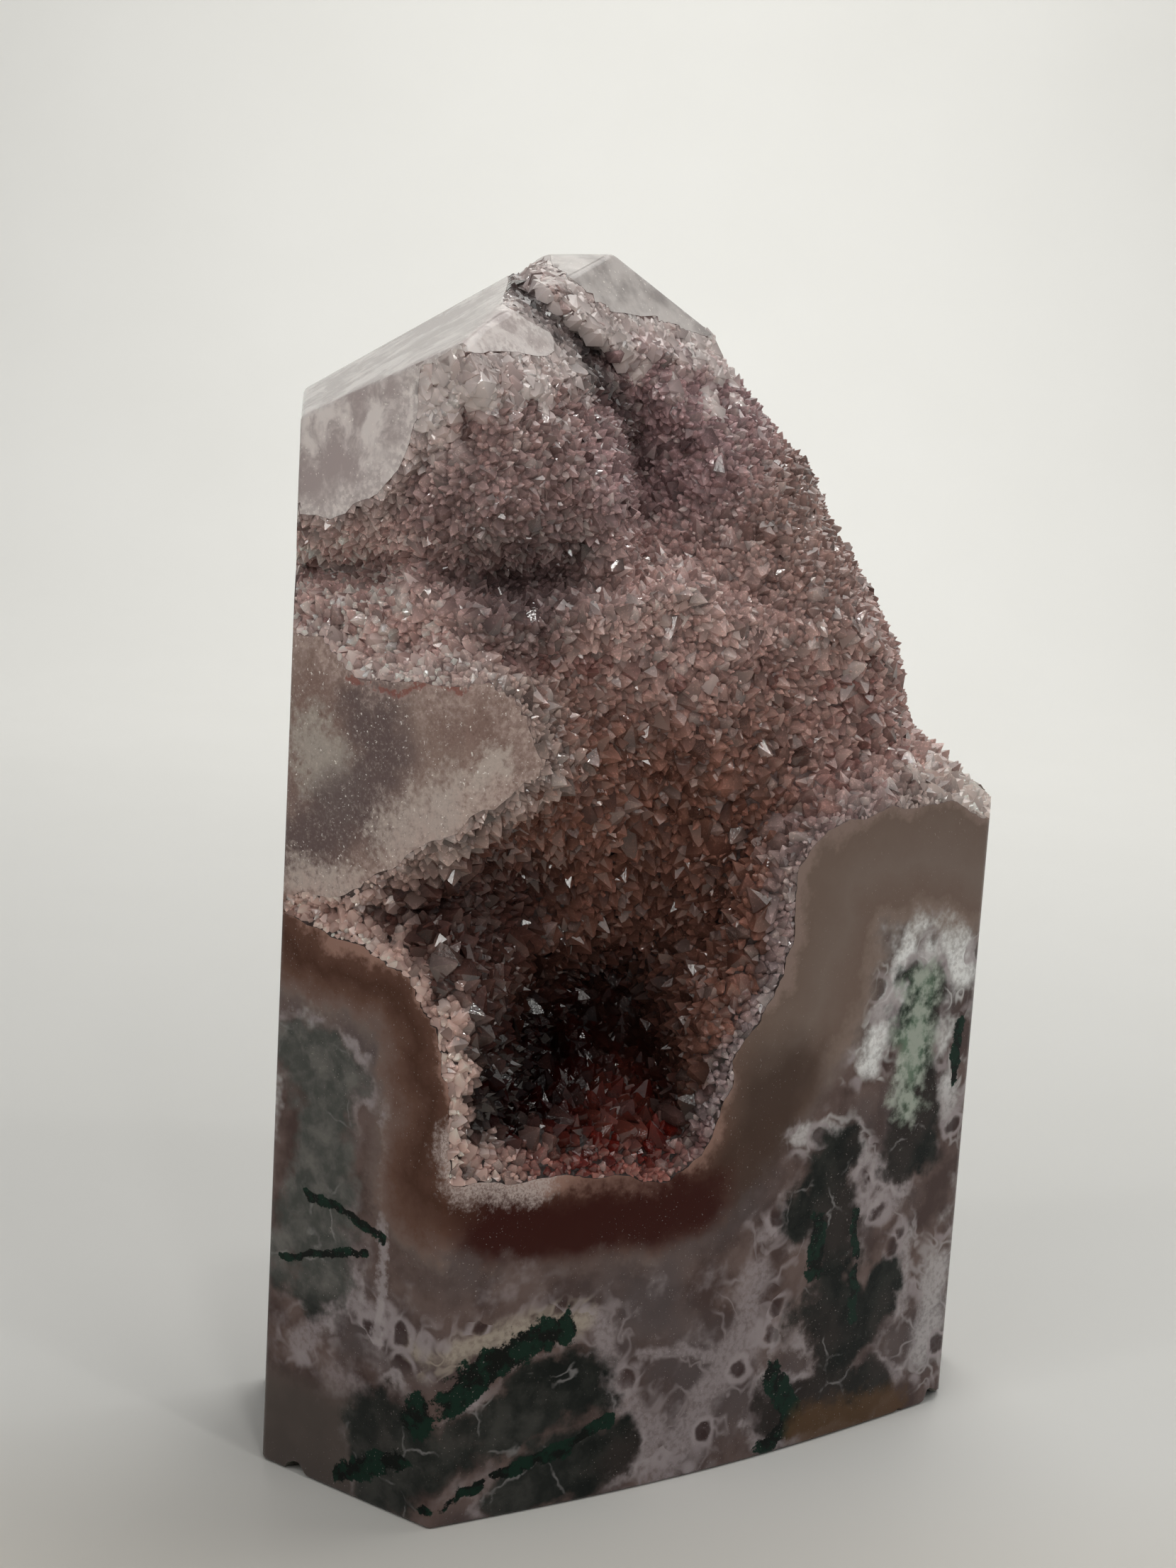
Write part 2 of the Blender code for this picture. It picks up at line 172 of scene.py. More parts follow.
# %% Depth of the lining
def hollow_depth(x, z):
    """How far behind the polished front the lining lies, in millimetres."""
    inward = inside_distance(x, z)
    front = front_surface(x, z)

    # Below the ledge: a bowl that deepens into the pocket behind the lower rim.
    ledge = np.interp(x, LEDGE_X, LEDGE_Z) + lumps(x, 0.0 * z, 4.5, LEDGE_WANDER)
    crest = np.interp(x, [-34.0, -22.0, -10.0, 5.0, 20.0], [1.2, 1.4, 2.2, 4.2, 5.5])
    fall = np.clip((ledge - z) / 42.0, 0.0, 1.2)
    pocket = POCKET_DEPTH * fall ** 1.6 * np.exp(-((x + 3.5) / 13.5) ** 2)
    swell = 1.6 * np.sin(np.pi * np.clip((ledge - z) / 14.0, 0.0, 1.0))
    crevice = 7.0 * np.exp(-((z - 52.2) / 2.2) ** 2) * fade((-14.0 - x) / 6.0)
    corner = 7.0 * np.exp(-((x + 13.0) / 6.5) ** 2 - ((z - 52.5) / 5.0) ** 2)
    bowl = crest + pocket + swell + np.maximum(crevice, corner)

    # Above it, left of the crack: a bulging lobe, undercut where it meets the ledge.
    near_crack = 1.0 - 0.6 * fade((x + 11.0) / 6.0)
    under = 8.5 * near_crack * np.clip((90.0 - z) / 9.0, 0.0, 1.0) ** 1.7
    lobe = 1.6 + under + 3.2 * ((x + 21.0) / 15.0) ** 2 + 0.10 * np.clip(z - 92.0, 0.0, 8.0)

    # Right of the crack: a second mass farther back, which leans forward as it comes down.
    back = -7.5 - 5.0 * fade((90.0 - z) / 13.0) + 0.40 * np.clip(x + 1.0, 0.0, 60.0)
    mass = np.maximum(back - front, 0.9)
    past_crack = x - np.interp(z, CRACK_Z, CRACK_X)
    cleft = 6.5 * np.exp(-(past_crack / 7.5) ** 2)
    blend = fade(past_crack / CRACK_WIDTH + 0.5)
    upper = lobe * (1.0 - blend) + (mass + cleft) * blend

    above = fade((z - ledge) / LEDGE_WIDTH + 0.3)
    depth = bowl * (1.0 - above) + upper * above + lumps(x, z, LUMP_SIZE, LUMP_HEIGHT)

    # Near its outline the lining rises to the polished faces, as a wall or as a broad shelf.
    in_crack = fade(1.6 - np.abs(past_crack - 0.6) / 2.2) * fade((z - 99.0) / 3.0)
    wall = 0.7 * inward + 0.30 * inward ** 2
    low_shelf = 0.5 * inward + 13.0 * fade((inward - 3.8) / 3.2) + 1.2 * np.maximum(inward - 7.0, 0.0)
    high_shelf = 0.32 * inward + 4.0 * fade((inward - 2.6) / 2.6) + np.maximum(inward - 5.0, 0.0)
    high_shelf = high_shelf + 3.0 * in_crack * inward
    low = fade((59.0 - z) / 6.0)
    high = fade((z - 91.0) / 4.0)
    wall = low_shelf * low + high_shelf * high + wall * (1.0 - low - high)
    rim = np.where(inward > 0.0, wall, 3.0 * inward)
    return np.maximum(np.minimum(depth, rim), OUTSIDE)


def lining(across, z):
    """Points of the smooth lining.  It turns back round the open right-hand side."""
    limit = np.interp(z, SIDE_HEIGHTS, SIDE_REACH)
    beyond = np.maximum(across - (limit - SIDE_ROUNDING), 0.0)
    turned = SIDE_ROUNDING * (1.0 - np.exp(-beyond / SIDE_ROUNDING))
    x = np.minimum(across, limit - SIDE_ROUNDING) + turned
    y = front_surface(x, z) + hollow_depth(x, z) + SIDE_DEPTH_RATE * (beyond - turned)
    return np.stack([x, y, z], axis=-1)


def into_stone(across, z, reach):
    """Unit directions from the lining into the stone, evened out over the reach."""
    along = lining(across + reach, z) - lining(across - reach, z)
    up = lining(across, z + reach) - lining(across, z - reach)
    out = np.cross(up, along)
    return out / np.linalg.norm(out, axis=-1, keepdims=True)


# %% [markdown]
# ## The stone
# The tower starts as its plan outline, extruded and sliced by the top planes.  Bisecting it
# into a grid leaves its shape alone, and gives the polished faces points on which a
# measurement can be stored later: how far each place is from the crystal bed.  The colour
# bands of the quartz run parallel to the hollow, so that distance is what draws them.


# %% The polished tower
def plan_outline():
    """The tower's corners in plan, with the crowned front face as narrow strips."""
    front = np.array(FRONT)
    along = np.array(RIGHT) - front
    out = np.array((along[1], -along[0])) / np.hypot(*along)
    steps = np.linspace(0.0, 1.0, CROWN_STEPS + 1)
    broad = [tuple(front + along * t + out * crown(t)) for t in steps]
    return broad + [RIGHT_BACK, BACK, LEFT_BACK, LEFT]


def slice_off(bm, a, b, c):
    """Cut the mesh by the plane through three points, and close it with a flat face."""
    points = [Vector(p) * MM for p in (a, b, c)]
    out = plane_normal(points)
    if out.z < 0.0:
        out = -out
    geometry = bm.verts[:] + bm.edges[:] + bm.faces[:]
    cut = bmesh.ops.bisect_plane(bm, geom=geometry, dist=1e-7, plane_co=points[0],
                                 plane_no=out, clear_outer=True)
    rim = [item for item in cut["geom_cut"] if isinstance(item, bmesh.types.BMEdge)]
    bmesh.ops.contextual_create(bm, geom=rim)


def finish(bm, name):
    """Put a finished mesh in the scene as one object."""
    mesh = bpy.data.meshes.new(name)
    bm.to_mesh(mesh)
    bm.free()
    made = bpy.data.objects.new(name, mesh)
    bpy.context.scene.collection.objects.link(made)
    return made


def tower():
    """The whole polished point before the hollow, and the planes of its faces."""
    bm = bmesh.new()
    corners = [bm.verts.new((x * MM, y * MM, 0.0)) for x, y in plan_outline()]
    base = bm.faces.new(corners)
    side = bmesh.ops.extrude_face_region(bm, geom=[base])
    top = [item for item in side["geom"] if isinstance(item, bmesh.types.BMVert)]
    bmesh.ops.translate(bm, verts=top, vec=(0.0, 0.0, 130.0 * MM))
    slice_off(bm, LEFT_SHOULDER, FRONT_SHOULDER, APEX)
    slice_off(bm, FRONT_SHOULDER, RIGHT_RIDGE, APEX)
    slice_off(bm, BACK_SHOULDER, RIGHT_RIDGE, APEX)
    slice_off(bm, (0.0, *CREST), (1.0, *CREST), (0.0, CREST[0] - CREST_RUN, CREST[1] - 1.0))
    bmesh.ops.recalc_face_normals(bm, faces=bm.faces)
    planes = [(face.normal.copy(), face.calc_center_median()) for face in bm.faces]
    edges = [edge for edge in bm.edges if edge.calc_face_angle(0.0) > 0.25]
    bmesh.ops.bevel(bm, geom=edges, offset=EDGE_CHAMFER * MM, segments=3, profile=0.5,
                    affect="EDGES", clamp_overlap=True, material=-1)
    for axis in range(3):
        direction = Vector((0.0, 0.0, 0.0))
        direction[axis] = 1.0
        places = [vert.co[axis] for vert in bm.verts]
        steps = int((max(places) - min(places)) / (FACE_GRID * MM))
        for place in np.linspace(min(places), max(places), steps)[1:-1]:
            geometry = bm.verts[:] + bm.edges[:] + bm.faces[:]
            bmesh.ops.bisect_plane(bm, geom=geometry, dist=1e-7, plane_co=direction * place,
                                   plane_no=direction)
    return finish(bm, "quartz_tower"), planes


body, face_planes = tower()
print("tower has", len(face_planes), "faces and", len(body.data.polygons), "pieces of them")


# %% The space that the hollow takes away
def open_space():
    """A closed cutter that fills the hollow and all the space in front of it."""
    columns = int((SHEET_X[1] - SHEET_X[0]) / SHEET_SPACING)
    rows = int((SHEET_Z[1] - SHEET_Z[0]) / SHEET_SPACING)
    bm = bmesh.new()
    bmesh.ops.create_grid(bm, x_segments=columns, y_segments=rows, size=0.5)
    across = np.array([SHEET_X[0] + (v.co.x + 0.5) * (SHEET_X[1] - SHEET_X[0]) for v in bm.verts])
    height = np.array([SHEET_Z[0] + (v.co.y + 0.5) * (SHEET_Z[1] - SHEET_Z[0]) for v in bm.verts])
    places = lining(across, height)
    inward = into_stone(across, height, 1.2)
    shift = 0.25 + lumps(across, height, 3.1, 0.55) + lumps(across, height, 1.3, 0.3)
    places = places + inward * shift[:, None]
    for vert, place in zip(bm.verts, places):
        vert.co = Vector(place) * MM
    rim = [edge for edge in bm.edges if edge.is_boundary]
    skirt = bmesh.ops.extrude_edge_only(bm, edges=rim)["geom"]
    for vert in (item for item in skirt if isinstance(item, bmesh.types.BMVert)):
        out = Vector((vert.co.x, vert.co.y, 0.0)).normalized() * 60.0 * MM
        if vert.co.z > (SHEET_Z[1] - 4.0) * MM:
            out.z = 60.0 * MM
        vert.co += out
    far = [item for item in skirt if isinstance(item, bmesh.types.BMEdge)]
    hood = bmesh.ops.extrude_edge_only(bm, edges=far)["geom"]
    ends = [item for item in hood if isinstance(item, bmesh.types.BMVert)]
    bmesh.ops.pointmerge(bm, verts=ends, merge_co=FAR_POINT)
    bmesh.ops.recalc_face_normals(bm, faces=bm.faces)
    if bm.calc_volume(signed=True) < 0.0:
        bmesh.ops.reverse_faces(bm, faces=bm.faces)
    return finish(bm, "hollow_space")


def chip(index):
    """One rough lump that takes a chip out of the base's edge."""
    x, y, z, radius = CHIPS[index]
    bm = bmesh.new()
    bmesh.ops.create_icosphere(bm, subdivisions=3, radius=radius * MM)
    for vert in bm.verts:
        vert.co *= 1.0 + 0.35 * noise.noise(vert.co / (1.4 * MM) + Vector((index, 0.0, 0.0)))
    bmesh.ops.translate(bm, verts=bm.verts, vec=Vector((x, y, z)) * MM)
    return finish(bm, f"base_chip_{index + 1}")


# %% Cut the hollow and the chips
def carve(piece, cutters):
    """Take the cutters away from a piece, keep its largest body, and drop the cutters."""
    for cutter in cutters:
        step = piece.modifiers.new(cutter.name, "BOOLEAN")
        step.operation = "DIFFERENCE"
        step.solver = "EXACT"
        step.use_self = True
        step.object = cutter
    graph = bpy.context.evaluated_depsgraph_get()
    mesh = bpy.data.meshes.new_from_object(piece.evaluated_get(graph))
    piece.modifiers.clear()
    for cutter in cutters:
        bpy.data.objects.remove(cutter)
    bm = bmesh.new()
    bm.from_mesh(mesh)
    bmesh.ops.remove_doubles(bm, verts=bm.verts, dist=1e-6)
    bmesh.ops.dissolve_degenerate(bm, edges=bm.edges, dist=1e-6)
    bmesh.ops.triangulate(bm, faces=bm.faces)
    waiting = set(bm.faces)
    bodies = []
    while waiting:
        front = [waiting.pop()]
        found = list(front)
        while front:
            around = {other for edge in front.pop().edges for other in edge.link_faces}
            fresh = around & waiting
            waiting -= fresh
            front.extend(fresh)
            found.extend(fresh)
        bodies.append(found)
    bodies.sort(key=len)
    for crumb in bodies[:-1]:
        bmesh.ops.delete(bm, geom=crumb, context="FACES")
    bm.to_mesh(mesh)
    bm.free()
    piece.data = mesh


carve(body, [open_space()] + [chip(index) for index in range(len(CHIPS))])
print("stone has", len(body.data.polygons), "triangles")

# %% [markdown]
# ## Polished faces and broken faces
# The hollow's cut leaves faces that lie behind the tower's flat planes, and the polished
# ones lie on them.  Measuring each face against the planes sorts them, so that each sort
# can have its own finish.  The chamfers are a special case: they lie a little behind the
# planes too, but always close to two of them.

# %% Sort the stone's faces
PLANE_NORMALS = np.array([normal for normal, _ in face_planes])
PLANE_OFFSETS = np.array([normal.dot(point) for normal, point in face_planes])


def depths_behind(points):
    """Depth in mm of each point behind each plane of the tower, one column for a plane."""
    return (PLANE_OFFSETS - points @ PLANE_NORMALS.T) / MM


def is_broken(centres):
    """True where a face is part of the hollow or a chip, and not a polished one."""
    depth = depths_behind(centres)
    nearest = depth.argmin(axis=1)
    across_an_edge = PLANE_NORMALS[nearest] @ PLANE_NORMALS.T < 0.966
    second = np.where(across_an_edge, depth, 99.0).min(axis=1)
    closest = depth.min(axis=1)
    return (closest > 0.25) | ((closest > 0.01) & (second > 0.6))


def read(collection, field, width):
    """One field of every element of a mesh, as an array with a row for each element."""
    values = np.zeros(len(collection) * width)
    collection.foreach_get(field, values)
    return values.reshape(-1, width)


stone_points = read(body.data.vertices, "co", 3)
stone_corners = read(body.data.polygons, "vertices", 3).astype(int)
centres = stone_points[stone_corners].mean(axis=1)
broken = is_broken(centres)
body.data.polygons.foreach_set("material_index", broken.astype(np.int32))
print("polished triangles", int((~broken).sum()), "broken triangles", int(broken.sum()))

# %% Measure how far the polished faces are from the crystal bed
BED_FLOOR = 12.0        # the chips at the base are lower than this, and the bed is higher
bed = broken & (centres[:, 2] > BED_FLOOR * MM)
bed_corners = stone_corners[bed]
bed_tree = BVHTree.FromPolygons([Vector(p) for p in stone_points], bed_corners.tolist())
to_bed = [bed_tree.find_nearest(Vector(p))[3] / MM for p in stone_points]
distance = body.data.attributes.new("bed_distance", "FLOAT", "POINT")
distance.data.foreach_set("value", np.array(to_bed, np.float32))
body.data.shade_smooth()
body.data.set_sharp_from_angle(angle=radians(25.0))
print("bed distance up to", round(max(to_bed), 1), "mm")

# %% [markdown]
# ## The crystals
# The lining is thousands of small quartz points standing side by side.  Each is a six-sided
# point of sloping faces, rooted in the bed.  A few uneven ones are modelled, and then copies
# are set all over the bed, each turned, tilted and sized a little differently.  Joining the
# copies as arrays keeps them real mesh, which instances would not be once exported.

# %% A few quartz points
POINT_SIDES = 6
SLOPE_OUT = 0.786       # a sloping face of quartz stands at 38 degrees to the long axis
SLOPE_UP = 0.618
TIP = 1.28              # height of the tip of a point of radius 1
ROOT = 0.75             # how deep it is rooted in the bed


def cut_flat(bm, place, out):
    """Cut the mesh by a plane, drop what is outside, and close it with a flat face."""
    geometry = bm.verts[:] + bm.edges[:] + bm.faces[:]
    cut = bmesh.ops.bisect_plane(bm, geom=geometry, dist=1e-5, plane_co=place,
                                 plane_no=out, clear_outer=True)
    rim = [item for item in cut["geom_cut"] if isinstance(item, bmesh.types.BMEdge)]
    if rim:
        bmesh.ops.contextual_create(bm, geom=rim)


def quartz_point(rng, uneven_faces):
    """Points and triangles of one crystal of radius 1, standing on z = 0 and rooted below."""
    bm = bmesh.new()
    spread = SLOPE_UP / SLOPE_OUT * (TIP + ROOT) / np.cos(np.pi / POINT_SIDES)
    bmesh.ops.create_cone(bm, cap_ends=True, segments=POINT_SIDES, radius1=spread, radius2=0.0,
                          depth=TIP + ROOT)
    bmesh.ops.translate(bm, verts=bm.verts, vec=(0.0, 0.0, (TIP - ROOT) / 2.0))
    first = rng.integers(0, POINT_SIDES)
    for cut in range(uneven_faces):
        angle = (first + 2 * cut) * 2.0 * np.pi / POINT_SIDES + 0.12 * rng.normal()
        out = Vector((SLOPE_OUT * np.cos(angle), SLOPE_OUT * np.sin(angle), SLOPE_UP))
        cut_flat(bm, Vector((0.0, 0.0, TIP * rng.uniform(0.62, 0.9))), out)
    bmesh.ops.remove_doubles(bm, verts=bm.verts, dist=1e-3)
    bmesh.ops.triangulate(bm, faces=bm.faces)
    bmesh.ops.recalc_face_normals(bm, faces=bm.faces)
    bm.verts.index_update()
    points = np.array([vert.co for vert in bm.verts])
    corners = np.array([[vert.index for vert in face.verts] for face in bm.faces])
    bm.free()
    return points, corners


shape_rng = np.random.default_rng(5)
LARGE_SHAPES = [quartz_point(shape_rng, 1 + number % 3) for number in range(9)]
SMALL_SHAPES = [quartz_point(shape_rng, number % 2) for number in range(4)]
print("crystal triangles", [len(corners) for _, corners in LARGE_SHAPES + SMALL_SHAPES])

# %% [markdown]
# ## Where the crystals grow
# Places are drawn at random over the bed's triangles, by area, and one is kept only if no
# kept one is closer than the spacing there.  This gives the even but irregular packing of
# a real druse.  The spacing is finer on the upper lobes and coarser in the bowl.

# %% Spacing and finding places
FINE_SPACING = 0.80
COARSE_SPACING = 1.20
CHUNKY_SPACING = 0.74
RIM_SPACING = 0.78


def whitish_at(places):
    """1 on the lumpy whitish quartz under the two peaks, 0 on the druse, at places in mm."""
    x, z = places[:, 0], places[:, 2]
    ragged = np.array([noise.noise(Vector(place) / 2.6) for place in places])
    high = fade((z - 91.0) / 4.0) * fade((17.0 - x) / 12.0)
    edge = fade((4.6 + 5.0 * ragged - inside_distance(x, z)) / 1.6)
    return high * edge


def spacing_at(places):
    """Distance between neighbouring crystals in mm, at places in mm."""
    x, z = places[:, 0], places[:, 2]
    low = fade((84.0 - z) / 22.0)
    spacing = FINE_SPACING * (1.0 - low) + COARSE_SPACING * low
    depth = depths_behind(places * MM).min(axis=1)
    rim = fade((1.8 - depth) / 1.2)
    spacing = spacing * (1.0 - rim) + RIM_SPACING * rim
    chunky = whitish_at(places)
    return spacing * (1.0 - chunky) + CHUNKY_SPACING * chunky


def scatter(places, spacing, taken, room):
    """Indices of the places that keep their spacing from each other and from the taken ones."""
    cell = 1.4
    grid = {}
    for point, reach in taken:
        grid.setdefault(tuple((point // cell).astype(int)), []).append((*point, reach * room))
    kept = []
    around = [(i, j, k) for i in (-1, 0, 1) for j in (-1, 0, 1) for k in (-1, 0, 1)]
    cells = (places // cell).astype(int).tolist()
    for index, (x, y, z) in enumerate(places.tolist()):
        reach = spacing[index]
        ci, cj, ck = cells[index]
        free = True
        for i, j, k in around:
            for a, b, c, other in grid.get((ci + i, cj + j, ck + k), ()):
                limit = max(reach, other) if other > reach else reach
                if (a - x) ** 2 + (b - y) ** 2 + (c - z) ** 2 < limit * limit:
                    free = False
                    break
            if not free:
                break
        if free:
            grid.setdefault((ci, cj, ck), []).append((x, y, z, reach))
            kept.append(index)
    return np.array(kept)


rng = np.random.default_rng(23)
a, b, c = (stone_points[bed_corners[:, i]] / MM for i in range(3))
areas = np.linalg.norm(np.cross(b - a, c - a), axis=1) / 2.0
TRIES = 90000
chosen = rng.choice(len(areas), TRIES, p=areas / areas.sum())
u, v = rng.random((2, TRIES))
u, v = np.where(u + v > 1.0, 1.0 - u, u), np.where(u + v > 1.0, 1.0 - v, v)
places = a[chosen] + u[:, None] * (b - a)[chosen] + v[:, None] * (c - a)[chosen]
spacing = spacing_at(places)
large = scatter(places, spacing, [], 1.0)
print("bed area", int(areas.sum()), "mm2, large crystals", len(large))

# %% Small crystals between the large ones
small_reach = spacing * 0.56
taken = [(places[i], spacing[i]) for i in large]
small = scatter(places[::-1], small_reach[::-1], taken, 0.60)
small = TRIES - 1 - small
print("small crystals", len(small))

# %% Directions the crystals point in
face_normals = np.cross(b - a, c - a)
face_normals /= np.linalg.norm(face_normals, axis=1, keepdims=True) + 1e-12
face_centres = (a + b + c) / 3.0
near = kdtree.KDTree(len(face_centres))
for index, centre in enumerate(face_centres):
    near.insert(Vector(centre), index)
near.balance()


def outward(points, reach):
    """Unit directions out of the bed at the points, evened out over the reach in mm."""
    found = []
    for point in points:
        around = [index for _, index, _ in near.find_range(Vector(point), reach)]
        total = (face_normals[around] * areas[around][:, None]).sum(axis=0)
        found.append(total / (np.linalg.norm(total) + 1e-12))
    return np.array(found)


# %% [markdown]
# ## Colours over the druse
# Iron changes the crystals from mauve on the upper lobes to brown in the bowl.  Some tints
# are painted shade: the lobe's underside and the crevice are tinted darker, and the pocket
# nearly black, which is partly its dark iron colour.  Each part of the hollow has one tint,
# and a crystal takes the mean of those near it, with its own small change.  Near the rim the
# quartz turns pale.

# %% Tints over the druse
TINTS = [                               # centre (x, z), reach, colour
    ((-17, 92), 7, (0.465, 0.312, 0.296)),      # left lobe
    # painted shade: the underside of the left lobe is tinted darker where shade falls
    ((-14, 83), 5, (0.190, 0.128, 0.126)),      # its underside
    ((0, 93), 6, (0.490, 0.323, 0.330)),        # right of the crack
    ((13, 86), 6, (0.400, 0.260, 0.228)),       # shoulder on the right
    ((-24, 77), 6, (1.00, 0.68, 0.63)),         # ledge at the left
    ((2, 78), 7, (0.78, 0.540, 0.500)),         # ledge at the middle
    ((19, 70), 7, (0.59, 0.390, 0.352)),        # right side
    ((2, 66), 9, (0.295, 0.140, 0.103)),        # bowl
    ((1, 52), 8, (0.290, 0.135, 0.100)),        # foot of the bowl
    # partly painted shade: the pocket's dark iron colour is deepened to nearly black
    ((-5, 40), 6, (0.005, 0.001, 0.001)),       # pocket
    # painted shade: the crevice is tinted darker where shade falls
    ((-14, 52), 4, (0.100, 0.048, 0.040)),      # crevice
    ((-3, 32), 3, (0.17, 0.042, 0.030)),        # floor of the pocket
]
RED_STAIN = (0.15, 0.004, 0.002)
CRACK_SHADE = (0.050, 0.030, 0.030)
MILKY = (0.92, 0.80, 0.76)
FROSTY = (0.86, 0.74, 0.715)
RIM_TINTS = [
    ((-20, 98), 9, (0.70, 0.56, 0.53)),         # under the left peak
    ((-30, 86), 5, (0.60, 0.46, 0.43)),         # left end of the upper lobe
    ((-14, 67), 8, (0.52, 0.40, 0.36)),         # round the island
    ((-22, 76), 6, (0.86, 0.68, 0.64)),         # above the island
    ((-18, 42), 9, (1.00, 0.70, 0.62)),         # the shelf at the left
    ((-3, 30), 5, (0.44, 0.17, 0.14)),          # under the pocket
    ((9, 42), 7, (0.50, 0.400, 0.405)),         # right of the pocket
    ((16, 60), 6, (0.46, 0.355, 0.345)),        # above the right band
    ((29, 62), 5, (0.78, 0.67, 0.615)),         # the corner at the right
]


def blend_of(parts, x, z):
    """Mean colour of the named parts at x and z, weighted by how near each part is."""
    total = np.zeros((len(x), 3))
    weights = np.full((len(x), 1), 1e-9)
    for (cx, cz), reach, colour in parts:
        weight = np.exp(-((x - cx) ** 2 + (z - cz) ** 2) / reach ** 2)[:, None]
        total += weight * np.array(colour)
        weights += weight
    return total / weights


def tint_at(points):
    """Colour of the druse at points in mm."""
    x, z = points[:, 0], points[:, 2]
    rim = rim_at(points)[:, None]
    return blend_of(TINTS, x, z) * (1.0 - rim) + blend_of(RIM_TINTS, x, z) * rim


def rim_at(points):
    """How far points in mm belong to the paler rim of the hollow, from 0 to 0.85."""
    ragged = np.array([noise.noise(Vector(point) / 1.9) for point in points])
    inward = inside_distance(points[:, 0], points[:, 2])
    return 0.85 * fade((3.4 + 2.4 * ragged - inward) / 3.0)


def is_frosted(points):
    """True where the crystals at points in mm are cloudy white quartz."""
    pale = blend_of(RIM_TINTS, points[:, 0], points[:, 2])[:, 1]
    chance = np.maximum(whitish_at(points), rim_at(points) * fade((pale - 0.50) / 0.25))
    chance = chance - 1.5 * crack_shade_at(points)
    patches = np.array([noise.noise(Vector(point) / 1.6 + Vector((9.0, 0.0, 0.0)))
                        for point in points])
    return chance > 0.35 - 0.6 * patches


def is_deep(points):
    """True where the druse at points in mm is nearly black, in the pocket: its dark iron colour
    deepened by painted shade.
    """
    return tint_at(points)[:, 0] < 0.12


def frost_at(points):
    """How white the lumpy quartz is at points in mm, in patches."""
    patches = np.array([noise.noise(Vector(point) / 2.3) for point in points])
    return 0.35 + 0.60 * fade(0.6 + 2.4 * patches)


def stain_at(points):
    """How deeply iron stains the druse red at points in mm, in patches and along lines."""
    x, z = points[:, 0], points[:, 2]
    patches = np.array([noise.noise(Vector(point) / 1.7) for point in points])
    pocket_floor = np.exp(-((x + 3.0) / 9.0) ** 2 - ((z - 32.2) / 2.1) ** 2)
    ledge_line = np.exp(-((z - 75.0 + 0.10 * x + 3.0 * patches) / 0.9) ** 2) * (x < 20.0)
    side = np.exp(-((x - 19.0) / 8.0) ** 2 - ((z - 66.0) / 9.0) ** 2)
    stain = 0.85 * pocket_floor + 0.45 * ledge_line + 0.35 * side + 0.08
    return np.clip(stain * fade(0.40 + 2.6 * patches), 0.0, 1.0)


def crack_shade_at(points):
    """How deep in the crack between the lobes a point in mm is, from 0 to 1."""
    x, z = points[:, 0], points[:, 2]
    past_crack = x - np.interp(z, CRACK_Z, CRACK_X)
    return np.exp(-((past_crack - 0.9) / 1.5) ** 2) * fade((z - 86.0) / 12.0)


# %% Set out the crystals as one mesh
FLUSH = 0.02            # crystals at the rim are ground this far below the polished faces


def turned(directions, tilt, rng):
    """Rotation matrices that stand crystals along the directions, spun and tilted at random."""
    count = len(directions)
    lean = rng.normal(0.0, tilt, (count, 3))
    axis = directions + lean
    axis /= np.linalg.norm(axis, axis=1, keepdims=True)
    side = np.cross(axis, rng.normal(0.0, 1.0, (count, 3)))
    side /= np.linalg.norm(side, axis=1, keepdims=True)
    third = np.cross(axis, side)
    return np.stack([side, third, axis], axis=2)


def set_out(name, chosen, width, rise, tilt, shapes, rng, root=0.46):
    """One mesh of crystals at the chosen places, each with its tint."""
    points = places[chosen]
    frames = turned(outward(points, 1.6), tilt, rng)
    lumpy = whitish_at(points)
    wide = width * spacing[chosen] * rng.uniform(0.8, 1.25, len(points)) * (1.0 + 0.35 * lumpy)
    wide = wide * np.where(rng.random(len(points)) < 0.07, 1.30, 1.0)
    high = wide * rise * rng.uniform(0.75, 1.3, len(points)) * (1.0 - 0.35 * lumpy)
    tints = tint_at(points) * rng.uniform(0.60, 1.40, (len(points), 1))
    stain = stain_at(points)[:, None]
    tints = tints * (1.0 - stain) + np.array(RED_STAIN) * stain
    paler = np.minimum(0.5, 0.8 * tints[:, 0]) * (rng.random(len(points)) < 0.10)
    tints = tints * (1.0 - paler[:, None]) + np.array(MILKY) * paler[:, None]
    frost = lumpy * frost_at(points)
    tints = tints * (1.0 - frost[:, None]) + np.array(FROSTY) * frost[:, None]
    shade = 0.93 * crack_shade_at(points)[:, None]
    tints = tints * (1.0 - shade) + np.array(CRACK_SHADE) * shade
    kind = rng.integers(0, len(shapes), len(points))
    all_points, all_corners, all_tints, start = [], [], [], 0
    for number, (shape, corners) in enumerate(shapes):
        mine = np.nonzero(kind == number)[0]
        scale = np.stack([wide[mine], wide[mine], high[mine]], axis=1)
        local = shape[None, :, :] * scale[:, None, :]
        spread = np.einsum("nij,nkj->nki", frames[mine], local) + points[mine][:, None, :]
        # painted shade and light: each crystal is darker at its root and lighter than its tint at its
        # tip
        root_shade = root + (1.24 - root) * np.clip(shape[:, 2] / shape[:, 2].max(), 0.0, 1.0)
        colours = tints[mine][:, None, :] * root_shade[None, :, None]
        offsets = start + np.arange(len(mine)) * len(shape)
        all_corners.append((corners[None] + offsets[:, None, None]).reshape(-1, 3))
        all_points.append(spread.reshape(-1, 3))
        all_tints.append(colours.reshape(-1, 3))
        start += len(mine) * len(shape)
    return crystal_mesh(name, np.concatenate(all_points), np.concatenate(all_corners),
                        np.concatenate(all_tints))


